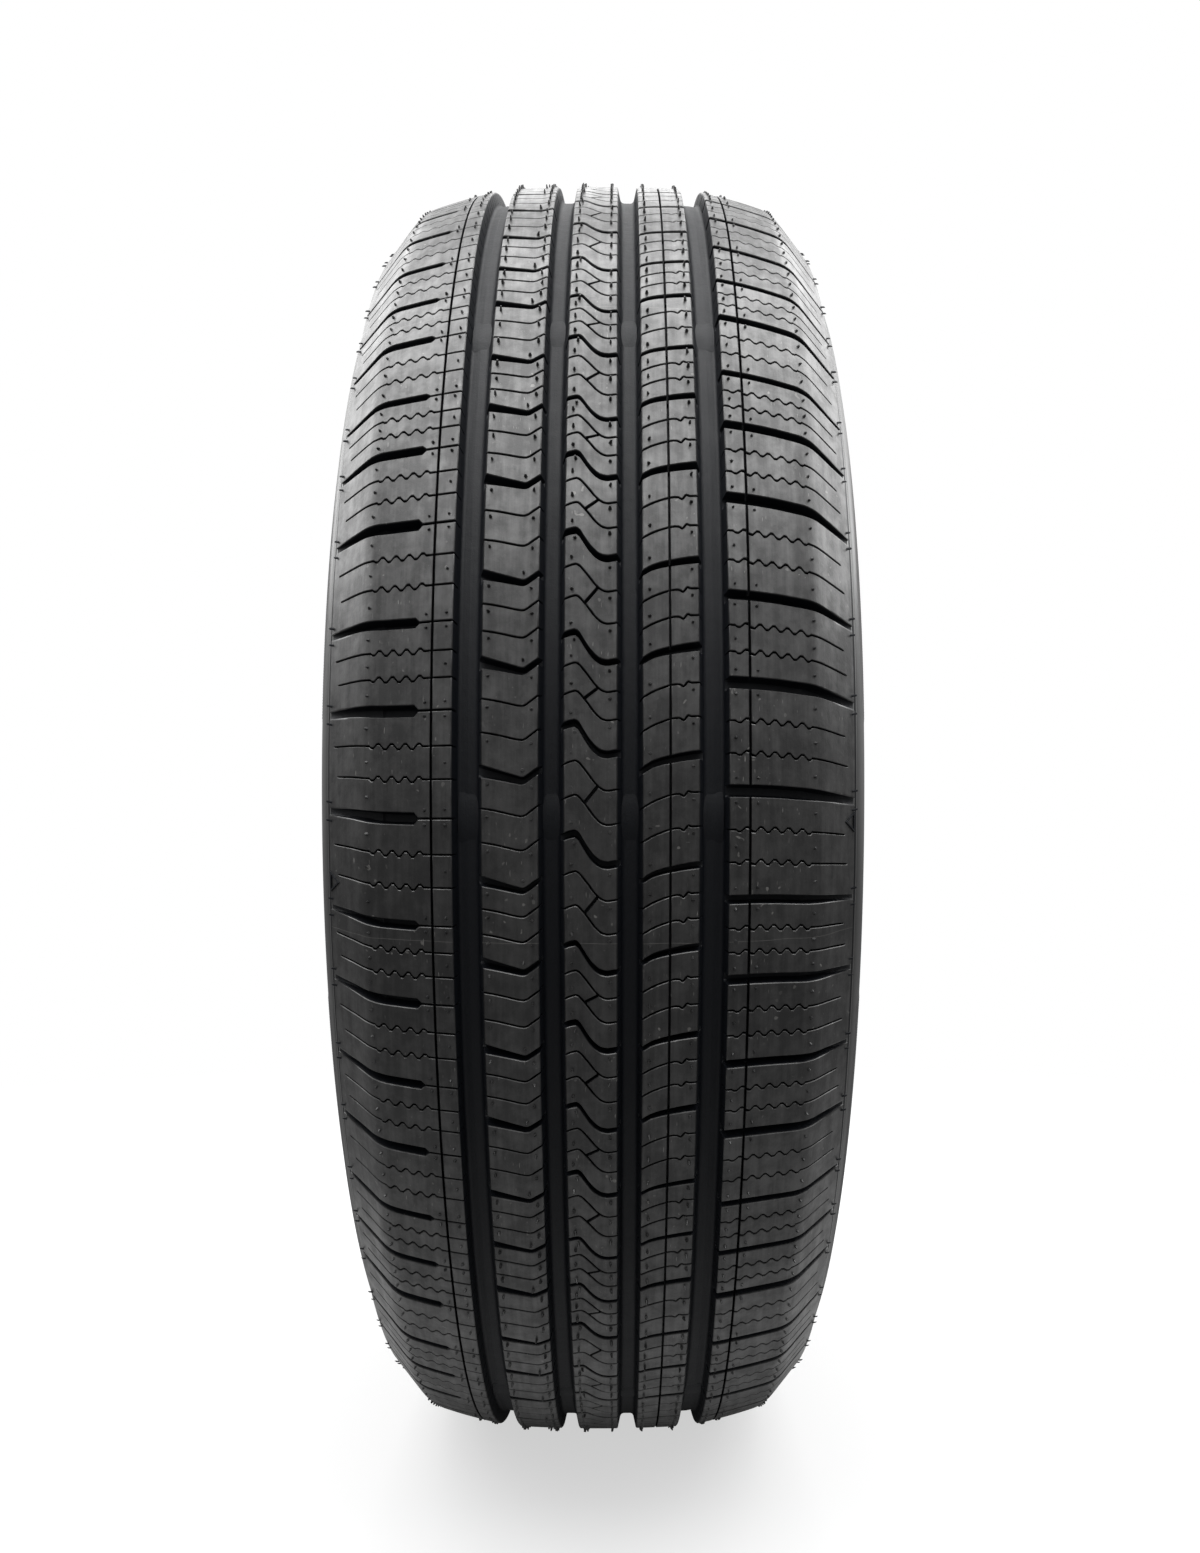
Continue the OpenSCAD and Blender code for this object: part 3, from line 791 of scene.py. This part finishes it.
def band(name, way):
    """Two rows to a ridge: the outer wall raised on even rows. On the panels, and at the
    band's edges, the rows lie level."""
    rows = 2 * RIDGES
    angle = -np.linspace(0, 2 * math.pi, rows, endpoint=False)[:, None]
    gap = np.abs((angle - PANEL_CENTRES + math.pi) % (2 * math.pi) - math.pi).min(1)[:, None]
    ridged = np.clip((gap - PANEL_HALF) / PANEL_EDGE, 0, 1)
    radii = np.array([BAND_TOP_R, BAND_TOP_R - 0.4, 319, 311, BAND_LOW_R + 0.4, BAND_LOW_R])
    inner = np.array([0, 1, 1, 1, 1, 0])
    crest = (np.arange(rows) % 2)[:, None]
    lift = (PANEL_LIFT + (RIDGE_RISE * crest - VALLEY_DEPTH) * ridged) * inner - BAND_SUNK
    back_r = np.array([BAND_LOW_R + 1, BAND_TOP_R - 1])
    back_x = np.broadcast_to(upper_wall(back_r) - BAND_THICK, (rows, 2))
    x = np.hstack([upper_wall(radii) + lift, back_x])
    r = np.append(radii, back_r)
    faces = grid_faces(rows, len(r))
    return build(name, around(way * x, r, angle), faces if way > 0 else faces[:, ::-1], sharp=60)


bands = [band("left_band", -1), band("right_band", 1)]

# %% [markdown]
# ## Wear bars, vent nubs and edge marks
# Small things are placed in a local frame on the tread: sideways, along the tyre and out of the
# surface. One small shape is repeated by adding its points to every place at once. A vent nub
# is where rubber was pressed into the mould's air holes, so each land has some.


# %% Placing small shapes
# The stubs and the edge marks take this depth's colour: the grooves' black, with its painted shade.
DARK_TONE = 2.2


def plant(name, shape, faces, x, angle, sunk=0.0, tone=DARK_TONE):
    """Copies of shape, whose points are (sideways, along, out) in millimetres, set on the tread at
    each x and angle. shape is [point, 3], or [place, point, 3]. tone is the depth whose colour
    they take, one for all or one for each place."""
    x, angle = (np.asarray(v, float)[:, None] for v in (x, angle))
    slope = tread_slope(x) * np.sign(x)
    side, along, out = np.moveaxis(np.broadcast_to(shape, (len(x),) + shape.shape[-2:]), -1, 0)
    out = out - np.reshape(sunk, (-1, 1))
    r = tread_r(x) + out * np.cos(slope) - side * np.sin(slope)
    y = x + out * np.sin(slope) + side * np.cos(slope)
    forward = r * np.cos(angle) - along * np.sin(angle)
    up = np.maximum(r * np.sin(angle) + along * np.cos(angle), GROUND_Z)
    points = np.stack([forward, y, up], -1).reshape(-1, 3)
    starts = np.arange(len(x))[:, None, None] * shape.shape[-2]
    tones = np.broadcast_to(np.reshape(tone, (-1, 1)), forward.shape)
    return build(name, points, (faces[None] + starts).reshape(-1, 4), sharp=40, depth=tones)


def ring_stack(radii, heights, sides=6):
    """A small turned shape of rings, from its tip down to its foot, closed at both ends."""
    a = np.arange(sides) * 2 * math.pi / sides
    rings = [np.stack([r * np.cos(a), r * np.sin(a), np.full(sides, h)], 1)
             for r, h in zip(radii, heights)]
    faces = grid_faces(len(radii), sides, close_rows=False)
    foot = (len(radii) - 1) * sides
    caps = np.array([[0, 1, 2, 3], [0, 3, 4, 5]])
    return np.vstack(rings), np.vstack([faces, caps, caps[:, ::-1] + foot])


print("placing helper ready")

# %% Wear bars in the main grooves
QUARTERS = np.arange(4) * math.pi / 2
BAR_ANGLES = np.radians([-2.6, 33.4])
BAR_H, BAR_SUNK = 0.9, 0.3
BAR_ALONG = np.array([-10, -7, -3, 3, 7, 10])
BAR_RISE = np.array([-BAR_SUNK, 0.35, BAR_H, BAR_H, 0.35, -BAR_SUNK])
BAR_BITE = 0.08
round_tyre = (BAR_ANGLES[:, None] + QUARTERS).ravel()
grooves = [(way * g[0], g[1]) for way, g in ((-1, OUTER_GROOVE), (-1, INNER_GROOVE),
                                             (1, INNER_GROOVE), (1, OUTER_GROOVE))]
bar_x, bar_width = np.repeat(grooves, len(round_tyre), axis=0).T
bar_turns = np.tile(round_tyre, len(grooves))
bar_half = bar_width[:, None] / 2 - (GROOVE_DEPTH - BAR_RISE) * math.tan(GROOVE_DRAFT) + BAR_BITE
bar_sides = [np.stack(np.broadcast_arrays(way * bar_half, BAR_ALONG, BAR_RISE), -1)
             for way in (1, -1)]
bar_ends = np.array([[0, 1, 4, 5], [1, 2, 3, 4]])
bar_faces = np.vstack([grid_faces(2, len(BAR_ALONG), close_rows=False), bar_ends[:, ::-1],
                       bar_ends + len(BAR_ALONG)])
wear_bars = plant("wear_bars", np.concatenate(bar_sides, 1), bar_faces, bar_x, bar_turns,
                  GROOVE_DEPTH, GROOVE_DEPTH)

# %% Vent nubs
rng = np.random.default_rng(18)
# The nubs take part of the grooves' dark colour, the low ones more: painted shade for the shaded
# sides of the small cones.
NUB_R, TALL_NUB, LOW_NUB, TALL_SHADE_TONE, LOW_SHADE_TONE = 0.78, 1.9, 1.05, 0.2, 0.42
NUB_LEAN, NUB_SIZES, STUB_SIZES = 0.16, (0.82, 1.15), (0.85, 1.15)
CUTS = (0, 1, 2)


def near(cuts, x, off, chosen=CUTS):
    """A nub off millimetres above the upper edge of each chosen cut of every pitch, or below the
    lower edge where off is negative."""
    edge = [c.height(np.array([x])) + np.sign(off) * c.half(np.array([x])) for c in cuts]
    found = np.concatenate([edge[i] + off for i in chosen])[:, 0]
    return np.full(len(found), x), np.tile(pitch_angle[:, 0], len(chosen)) + found / OUTER_R


def midway(cuts, x, chosen=CUTS):
    """A nub halfway between each chosen cut and the next cut below it."""
    lines = [c.height(np.array([x])) for c in cuts]
    lines.append(np.roll(lines[0], -1, 0) - pitch)
    found = np.concatenate([(lines[i] + lines[i + 1]) / 2 for i in chosen])[:, 0]
    return np.full(len(found), x), np.tile(pitch_angle[:, 0], len(chosen)) + found / OUTER_R


def joined(sets):
    """The places and angles of several sets of nubs, one after another."""
    return tuple(np.concatenate(v) for v in zip(*sets))


tall_x, tall_angle = joined([
    near(left_rib_cuts, -40.6, -2.6), near(left_rib_cuts, -23.3, -3),
    near(left_rib_cuts, -26.7, 2.8, (0,)),
    near(centre_cuts, -7.7, 3), near(centre_cuts, -6.4, -1.9, (0,)), near(centre_cuts, 7.6, -2.4),
    near(right_rib_cuts, 23.5, 3.5), near(right_rib_cuts, 40.5, -2.4),
])
low_x, low_angle = joined([
    near(left_shoulder_cuts, -57.6, 3.2, (0,)), near(left_shoulder_cuts, -57.6, -2, (0,)),
    near(left_shoulder_cuts, -65.9, 2.9, (0,)), near(left_shoulder_cuts, -65.9, -2, (0,)),
    midway(left_shoulder_cuts, -57.6, (1,)), midway(left_shoulder_cuts, -90.0),
    near(right_shoulder_cuts, 57.5, 2.7, (0,)), near(right_shoulder_cuts, 57.5, -2, (0,)),
    near(right_shoulder_cuts, 66.4, 2.8, (0,)), near(right_shoulder_cuts, 66.4, -2.2, (0,)),
    midway(right_shoulder_cuts, 57.5, (1,)), midway(right_shoulder_cuts, 90.0),
])
nub_x, nub_angle = np.append(tall_x, low_x), np.append(tall_angle, low_angle)
nub_h = np.repeat([TALL_NUB, LOW_NUB], [len(tall_x), len(low_x)])
nub_shade_tone = np.repeat([TALL_SHADE_TONE, LOW_SHADE_TONE], [len(tall_x), len(low_x)])
nub_shape, nub_faces = ring_stack([0.42, 0.7, 1.05], [1, 0.45, -0.25])
nubs = nub_shape[None] * np.stack([np.full(len(nub_x), NUB_R)] * 2 + [nub_h], 1)[:, None]
nubs = nubs * rng.uniform(*NUB_SIZES, (len(nub_x), 1, 3))
leans = rng.normal(0, NUB_LEAN, (len(nub_x), 1, 2))
nubs[:, :, :2] += leans * np.maximum(nubs[:, :, 2:], 0)
vent_nubs = plant("vent_nubs", nubs, nub_faces, nub_x, nub_angle, tone=nub_shade_tone)

# %% Stubs on the buttress edges, beside each shoulder groove
EDGE_STUB_X = 107.6
STUB_R, STUB_OUT, STUB_DOWN, STUB_UP = 0.5, 1.3, 1.35, 0.3
stub_x, stub_angle = joined([near(cuts, way * EDGE_STUB_X, off, (0,))
                             for cuts, way in ((left_shoulder_cuts, -1), (right_shoulder_cuts, 1))
                             for off in (2.6, -2.5)])
stub_shape, stub_faces = ring_stack([0.6, 0.95, 1], [1, 0.8, -0.4])
stubs = stub_shape[None] * np.array([STUB_R, STUB_R, STUB_OUT])
stubs = stubs * rng.uniform(*STUB_SIZES, (len(stub_x), 1, 1))
raised = np.maximum(stubs[:, :, 2], 0)
stubs[:, :, 0] += np.sign(stub_x)[:, None] * raised * STUB_DOWN
stubs[:, :, 1] += raised * STUB_UP
vent_stubs = plant("vent_stubs", stubs, stub_faces, stub_x, stub_angle)

# %% Outlined triangles on the buttresses, which point at the wear bars
MARK_X, MARK_SIZE, MARK_LINE, MARK_H = 107.2, (4.5, 4.2), 0.5, 0.5


def triangle_ring(way):
    """An outlined triangle: outer and inner corners, high and low. Its tip points inward."""
    reach, half = MARK_SIZE
    corners = np.array([[-way * reach, 0], [way * reach * 0.5, -half], [way * reach * 0.5, half]])
    inner = corners * (1 - 2.4 * MARK_LINE / reach)
    rings = [np.column_stack([c, np.full(3, h)]) for c, h in
             ((inner, -0.5), (inner, MARK_H), (corners, MARK_H), (corners, -0.5))]
    faces = grid_faces(4, 3, close_rows=True)
    return np.vstack(rings), faces if way > 0 else faces[:, ::-1]


mark_pieces = [plant(f"{side}_marks", *triangle_ring(way), np.full(4, way * MARK_X),
                     np.radians(first) + QUARTERS)
               for side, way, first in (("left", -1, -7.1), ("right", 1, -2.9))]

# %% [markdown]
# ## Rubber
# New rubber is dark, but its lands shine grey: a thin bloom of wax lies on them, which is drawn
# as a coat. The grooves have none, and their colour is darker still: partly the bare black rubber
# and partly painted shade, for the shade that falls in them. The bloom is blotchy, rubbed into
# faint streaks round the tyre, and has small pale specks and short scratches. Pale lines along the
# mould seams are painted highlights, standing in for the seams' thin raised ridges. Shader maths is
# written as plain expressions on sockets.


# %% A socket that understands arithmetic
class Socket:
    """An output of a shader node. Arithmetic on it adds the Math nodes it needs."""

    def __init__(self, tree, socket):
        self.tree, self.socket = tree, socket

    def math(self, operation, a, b=0.0, clamp=False):
        """A Math node."""
        settings = {"operation": operation, "use_clamp": clamp}
        return add_node(self.tree, "ShaderNodeMath", settings, a, b)

    def __add__(self, other):
        return self.math("ADD", self, other)

    def __sub__(self, other):
        return self.math("SUBTRACT", self, other)

    def __rsub__(self, other):
        return self.math("SUBTRACT", other, self)

    def __mul__(self, other):
        return self.math("MULTIPLY", self, other)

    def __truediv__(self, other):
        return self.math("DIVIDE", self, other)

    __radd__, __rmul__ = __add__, __mul__

    def between(self, low, high):
        """0 below low, 1 above high, and an even ramp between."""
        return self.math("ADD", (self - low) / (high - low), clamp=True)

    def size(self):
        """The value without its sign."""
        return self.math("ABSOLUTE", self)

    def larger(self, other):
        """The larger of two values."""
        return self.math("MAXIMUM", self, other)


def feed(tree, node, inputs):
    """Links or sets inputs of a node, which are given by place or name."""
    for key, value in inputs.items():
        if isinstance(value, Socket):
            tree.links.new(value.socket, node.inputs[key])
        else:
            node.inputs[key].default_value = value


def add_node(tree, kind, settings=None, *values, out=0, **named):
    """Any node: its settings first, then the values or links of its inputs, by place or name."""
    node = tree.nodes.new(kind)
    for key, value in (settings or {}).items():
        setattr(node, key, value)
    feed(tree, node, {**dict(enumerate(values)), **named})
    return Socket(tree, node.outputs[out])


def axes(tree, vector):
    """The x, y and z of a vector."""
    node = tree.nodes.new("ShaderNodeSeparateXYZ")
    feed(tree, node, {0: vector})
    return [Socket(tree, part) for part in node.outputs]


def attribute(tree, name):
    """A value that was stored on a mesh's points."""
    return add_node(tree, "ShaderNodeAttribute", {"attribute_name": name}, out="Fac")


def new_material(name):
    """An empty material: its tree, its Principled shader and its Object coordinates."""
    material = bpy.data.materials.new(name)
    material.use_nodes = True
    tree = material.node_tree
    shader = next(n for n in tree.nodes if n.type == "BSDF_PRINCIPLED")
    place = add_node(tree, "ShaderNodeTexCoord", out="Object")
    return material, tree, shader, place


def mix_colour(tree, share, a, b):
    """A Mix node on colours: a where share is 0 and b where it is 1."""
    node = tree.nodes.new("ShaderNodeMix")
    node.data_type = "RGBA"
    feed(tree, node, {0: share, 6: a, 7: b})
    return Socket(tree, node.outputs[2])


def noise(tree, place, scale, detail=2.0, rough=0.5):
    """A noise value between about 0.2 and 0.8."""
    return add_node(tree, "ShaderNodeTexNoise", None, Vector=place, Scale=scale, Detail=detail,
                    Roughness=rough)


# %% A finish that both rubbers share
SPECULAR, COAT_ROUGH, COAT_IOR = 0.32, 0.3, 1.65


def rubber(tree, shader, colour, roughness, coat, texture, strength, distance):
    """Feeds a rubber's shader. texture is the height of its fine bumps."""
    bump = add_node(tree, "ShaderNodeBump", None, Strength=strength, Distance=distance,
                    Height=texture)
    feed(tree, shader, {
        "Base Color": colour, "Roughness": roughness, "Specular IOR Level": SPECULAR,
        "Coat Weight": coat, "Coat Roughness": COAT_ROUGH, "Coat IOR": COAT_IOR, "Normal": bump,
    })
    print(f"a rubber of {len(tree.nodes)} nodes")


# %% Tread rubber
LAND_COLOUR, LAND_PALE = (0.013, 0.013, 0.0135, 1), (0.03, 0.0295, 0.029, 1)
# The groove colour is partly the bare black rubber and partly painted shade, for the shade that
# falls in grooves and sipes.
GROOVE_BLACK_AND_SHADE = (0.004, 0.0052, 0.008, 1)
# The pale colour of the specks and scratches, and of the painted seam highlights.
SPECK_AND_SEAM_HIGHLIGHT_COLOUR = (0.16, 0.157, 0.15, 1)
SEAM_TURN, SEAM_STEP, SEAM_HALF = math.radians(32.9), math.radians(45), 0.0005
SEAM_HIGHLIGHT = 0.8

tread_rubber, tree, shader, place = new_material("tread_rubber")
# The depth mask blends in the groove colour with its painted shade, and takes the coat away, from
# the groove walls down.
groove = attribute(tree, "depth").between(0.1, 1.2)
ahead, sideways, up = axes(tree, place)
turn = up.math("ARCTAN2", up, ahead)
along = add_node(tree, "ShaderNodeCombineXYZ", None, turn * 9, sideways * 330, 0.0)
streak = noise(tree, along, 1, 3, 0.6).between(0.35, 0.7)
fine = add_node(tree, "ShaderNodeCombineXYZ", None, turn * 90, sideways * 1500, 0.0)
scratch = noise(tree, fine, 1, 0, 0).between(0.77, 0.82)
scratch = scratch * noise(tree, place, 40, 2, 0.5).between(0.5, 0.62)
blotch = noise(tree, place, 16, 5, 0.65).between(0.35, 0.68)
smudge = noise(tree, place, 110, 4, 0.65).between(0.36, 0.68)
grain = noise(tree, place, 900, 2, 0.6)
speck = noise(tree, place, 420, 0, 0).between(0.78, 0.82)
speck = speck * noise(tree, place, 25, 2, 0.5).between(0.48, 0.66)
wander = (noise(tree, place, 60, 1, 0.5) - 0.5) * 0.004
# A thin pale line along each mould seam, every 45 degrees: a painted highlight standing in for the
# seam's raised ridge, which is not modelled.
seam = add_node(tree, "ShaderNodeMath", {"operation": "FRACT"}, (turn + SEAM_TURN) / SEAM_STEP + 8)
seam = (SEAM_HALF - (seam + wander - 0.5).size()) * (1 / SEAM_HALF)
marks = scratch.larger(speck).larger(seam.math("MULTIPLY", seam, SEAM_HIGHLIGHT, clamp=True))
bloom = blotch * 0.35 + smudge * 0.25 + grain * 0.1 + streak * 0.3
land_colour = mix_colour(tree, bloom, LAND_COLOUR, LAND_PALE)
land_colour = mix_colour(tree, marks, land_colour, SPECK_AND_SEAM_HIGHLIGHT_COLOUR)
colour = mix_colour(tree, groove, land_colour, GROOVE_BLACK_AND_SHADE)
roughness = 0.34 + bloom * 0.12 + groove * 0.16
polish = (blotch * 0.25 + smudge * 0.45 + streak * 0.3).between(0.25, 0.75)
coat = (1 - groove) * (0.36 + polish * 0.64)
texture = noise(tree, place, 1500, 2, 0.6) * 0.6 + noise(tree, place, 240, 4, 0.65) * 2.6
texture = texture + streak * 0.8
rubber(tree, shader, colour, roughness, coat, texture, 0.5, 0.00015)

# %% Sidewall rubber, with the liner inside
WALL_COLOUR, WALL_PALE = (0.014, 0.014, 0.0145, 1), (0.03, 0.03, 0.03, 1)
LINER_COLOUR = (0.011, 0.011, 0.0115, 1)

wall_rubber, tree, shader, place = new_material("wall_rubber")
liner, line = attribute(tree, "liner"), attribute(tree, "line")
bloom = noise(tree, place, 11, 4, 0.6).between(0.3, 0.75) * 0.7
bloom = bloom + noise(tree, place, 300, 2, 0.6) * 0.3
colour = mix_colour(tree, bloom, WALL_COLOUR, WALL_PALE)
colour = mix_colour(tree, liner, colour, LINER_COLOUR)
# The sunk lines take the grooves' black: painted shade.
colour = mix_colour(tree, line, colour, GROOVE_BLACK_AND_SHADE)
roughness = 0.36 + bloom * 0.12 + liner * 0.12
coat = (1 - line) * (1 - liner * 0.6) * (0.6 + bloom * 0.5)
texture = noise(tree, place, 1400, 2, 0.6)
rubber(tree, shader, colour, roughness, coat, texture, 0.3, 0.0001)

# %% Give every piece its rubber and its place on the frame
tread_pieces = ribs + [vent_nubs, vent_stubs, wear_bars] + mark_pieces
for piece in tread_pieces + [casing] + bands:
    piece.data.materials.append(tread_rubber if piece in tread_pieces else wall_rubber)
    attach(piece, "root")
for piece in ribs + [casing]:
    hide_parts("tyre")
total = sum(2 * len(piece.data.polygons) for piece in tread_pieces + [casing] + bands)
print(f"{len(tread_pieces) + 3} pieces, {total} triangles")

# %% [markdown]
# ## Studio
# The tyre stands on a floor that is white to the camera, under one wide softbox that hangs
# overhead and a little in front, with a panel behind and a large one at each side. A round dark
# thing is shaped by what it mirrors, so the panels are placed by the direction in which the tread
# mirrors them. The room is dim toward the horizon and bright above. The floor mirrors as a grey
# one, and dark under the tyre, because the lower half of the tread is dark in the photograph.


# %% Softboxes
BOX_DISTANCE = 2.4


def softbox(name, elevation, azimuth, size, radiance):
    """An area light that faces the wheel centre. Its power is radiance * pi * its area, so that
    radiance 1 looks as bright as white."""
    data = bpy.data.lights.new(name, "AREA")
    data.shape = "RECTANGLE"
    data.size, data.size_y = size
    data.energy = radiance * math.pi * size[0] * size[1]
    box = place_object(name, data)
    e, a = math.radians(elevation), math.radians(azimuth)
    toward = np.array([math.cos(e) * math.cos(a), math.cos(e) * math.sin(a), math.sin(e)])
    box.location = BOX_DISTANCE * toward
    box.rotation_mode = "QUATERNION"
    box.rotation_quaternion = box.location.to_track_quat("Z", "Y")


softbox("top_box", 74, 0, (3.3, 2.9), 3.0)
softbox("back_box", 42, 180, (0.6, 1.6), 1.5)
softbox("left_box", 40, -110, (2.9, 1.8), 1.75)
softbox("right_box", 40, 110, (2.9, 1.8), 1.75)
print("four softboxes")

# %% Floor and world
FLOOR_SIZE = 30
FLOOR_GREY, FLOOR_WHITE, FLOOR_GLOW = 0.1, 0.8, 0.6
FADE_FROM, FADE_TO = 0.9, 1.8
MIRROR_NEAR, MIRROR_FAR, NEAR_FROM, NEAR_TO = 0.42, 0.04, 0.48, 0.82
SHADE_AHEAD, SHADE_BESIDE = (0.11, 0.24), (0.1, 0.18)
ROOM_LOW, ROOM_HIGH, ROOM_RISE, ROOM_MIRROR = 0.12, 0.95, 0.6, 0.05

floor_mesh = bpy.data.meshes.new("floor")
corner = FLOOR_SIZE / 2
corners = [(x, y, cad_low.z) for x, y in ((-corner, -corner), (corner, -corner), (corner, corner),
                                          (-corner, corner))]
floor_mesh.from_pydata(corners, [], [(0, 1, 2, 3)])
floor = place_object("floor", floor_mesh)


def ray_kinds(tree):
    """From Light Path: 1 where the camera sees it, plainly or through glass, and 1 in mirrors."""
    path = tree.nodes.new("ShaderNodeLightPath")
    kinds = ("Is Camera Ray", "Is Transmission Ray", "Is Glossy Ray")
    camera_ray, glass_ray, mirror_ray = (Socket(tree, path.outputs[k]) for k in kinds)
    return camera_ray + glass_ray, mirror_ray


white, tree, shader, place = new_material("floor_white")
seen, mirrored = ray_kinds(tree)
colour = mix_colour(tree, seen, (FLOOR_GREY,) * 3 + (1,), (FLOOR_WHITE,) * 3 + (1,))
feed(tree, shader, {"Base Color": colour, "Roughness": 0.9, "Specular IOR Level": 0})
away = add_node(tree, "ShaderNodeVectorMath", {"operation": "LENGTH"}, place, out="Value")
fade = away.between(FADE_FROM, FADE_TO)
ahead, beside = axes(tree, place)[:2]
# In mirrors the floor glows, brightest in a ring round the tyre and cut away right under it: a
# painted pool of light with a painted shadow in it.
outside_painted_shadow = ahead.size().between(*SHADE_AHEAD).larger(beside.size().between(*SHADE_BESIDE))
near_tyre_glow = (1 - away.between(NEAR_FROM, NEAR_TO)) * outside_painted_shadow
glow = add_node(tree, "ShaderNodeEmission", None, Color=(1, 1, 1, 1), Strength=1.0)
share = seen * (fade * (1 - FLOOR_GLOW) + FLOOR_GLOW)
# Mirrors see the floor's painted glow, bright near the tyre and faint far off.
share = share + mirrored * (near_tyre_glow * (MIRROR_NEAR - MIRROR_FAR) + MIRROR_FAR)
mixed = add_node(tree, "ShaderNodeMixShader", None, share, Socket(tree, shader.outputs[0]), glow)
output = next(n for n in tree.nodes if n.type == "OUTPUT_MATERIAL")
feed(tree, output, {"Surface": mixed})
floor.data.materials.append(white)

world = bpy.data.worlds.new("studio")
bpy.context.scene.world = world
world.use_nodes = True
tree = world.node_tree
seen, mirrored = ray_kinds(tree)
direction = add_node(tree, "ShaderNodeTexCoord", out="Generated")
above = axes(tree, direction)[2]
room = above.between(0, ROOM_RISE) * (ROOM_HIGH - ROOM_LOW) + ROOM_LOW
background = next(n for n in tree.nodes if n.type == "BACKGROUND")
strength = room + (seen + mirrored * ROOM_MIRROR) * (1 - room)
feed(tree, background, {"Color": (1, 1, 1, 1), "Strength": strength})
bpy.context.scene.view_settings.view_transform = "Standard"
print("floor and world are white to the camera")

# %% [markdown]
# ## The solid's box
# The box of the solid is printed, in millimetres.

# %% Measure and finish
print("solid", [round(v * 1000, 1) for v in (*cad_low, *cad_high)])
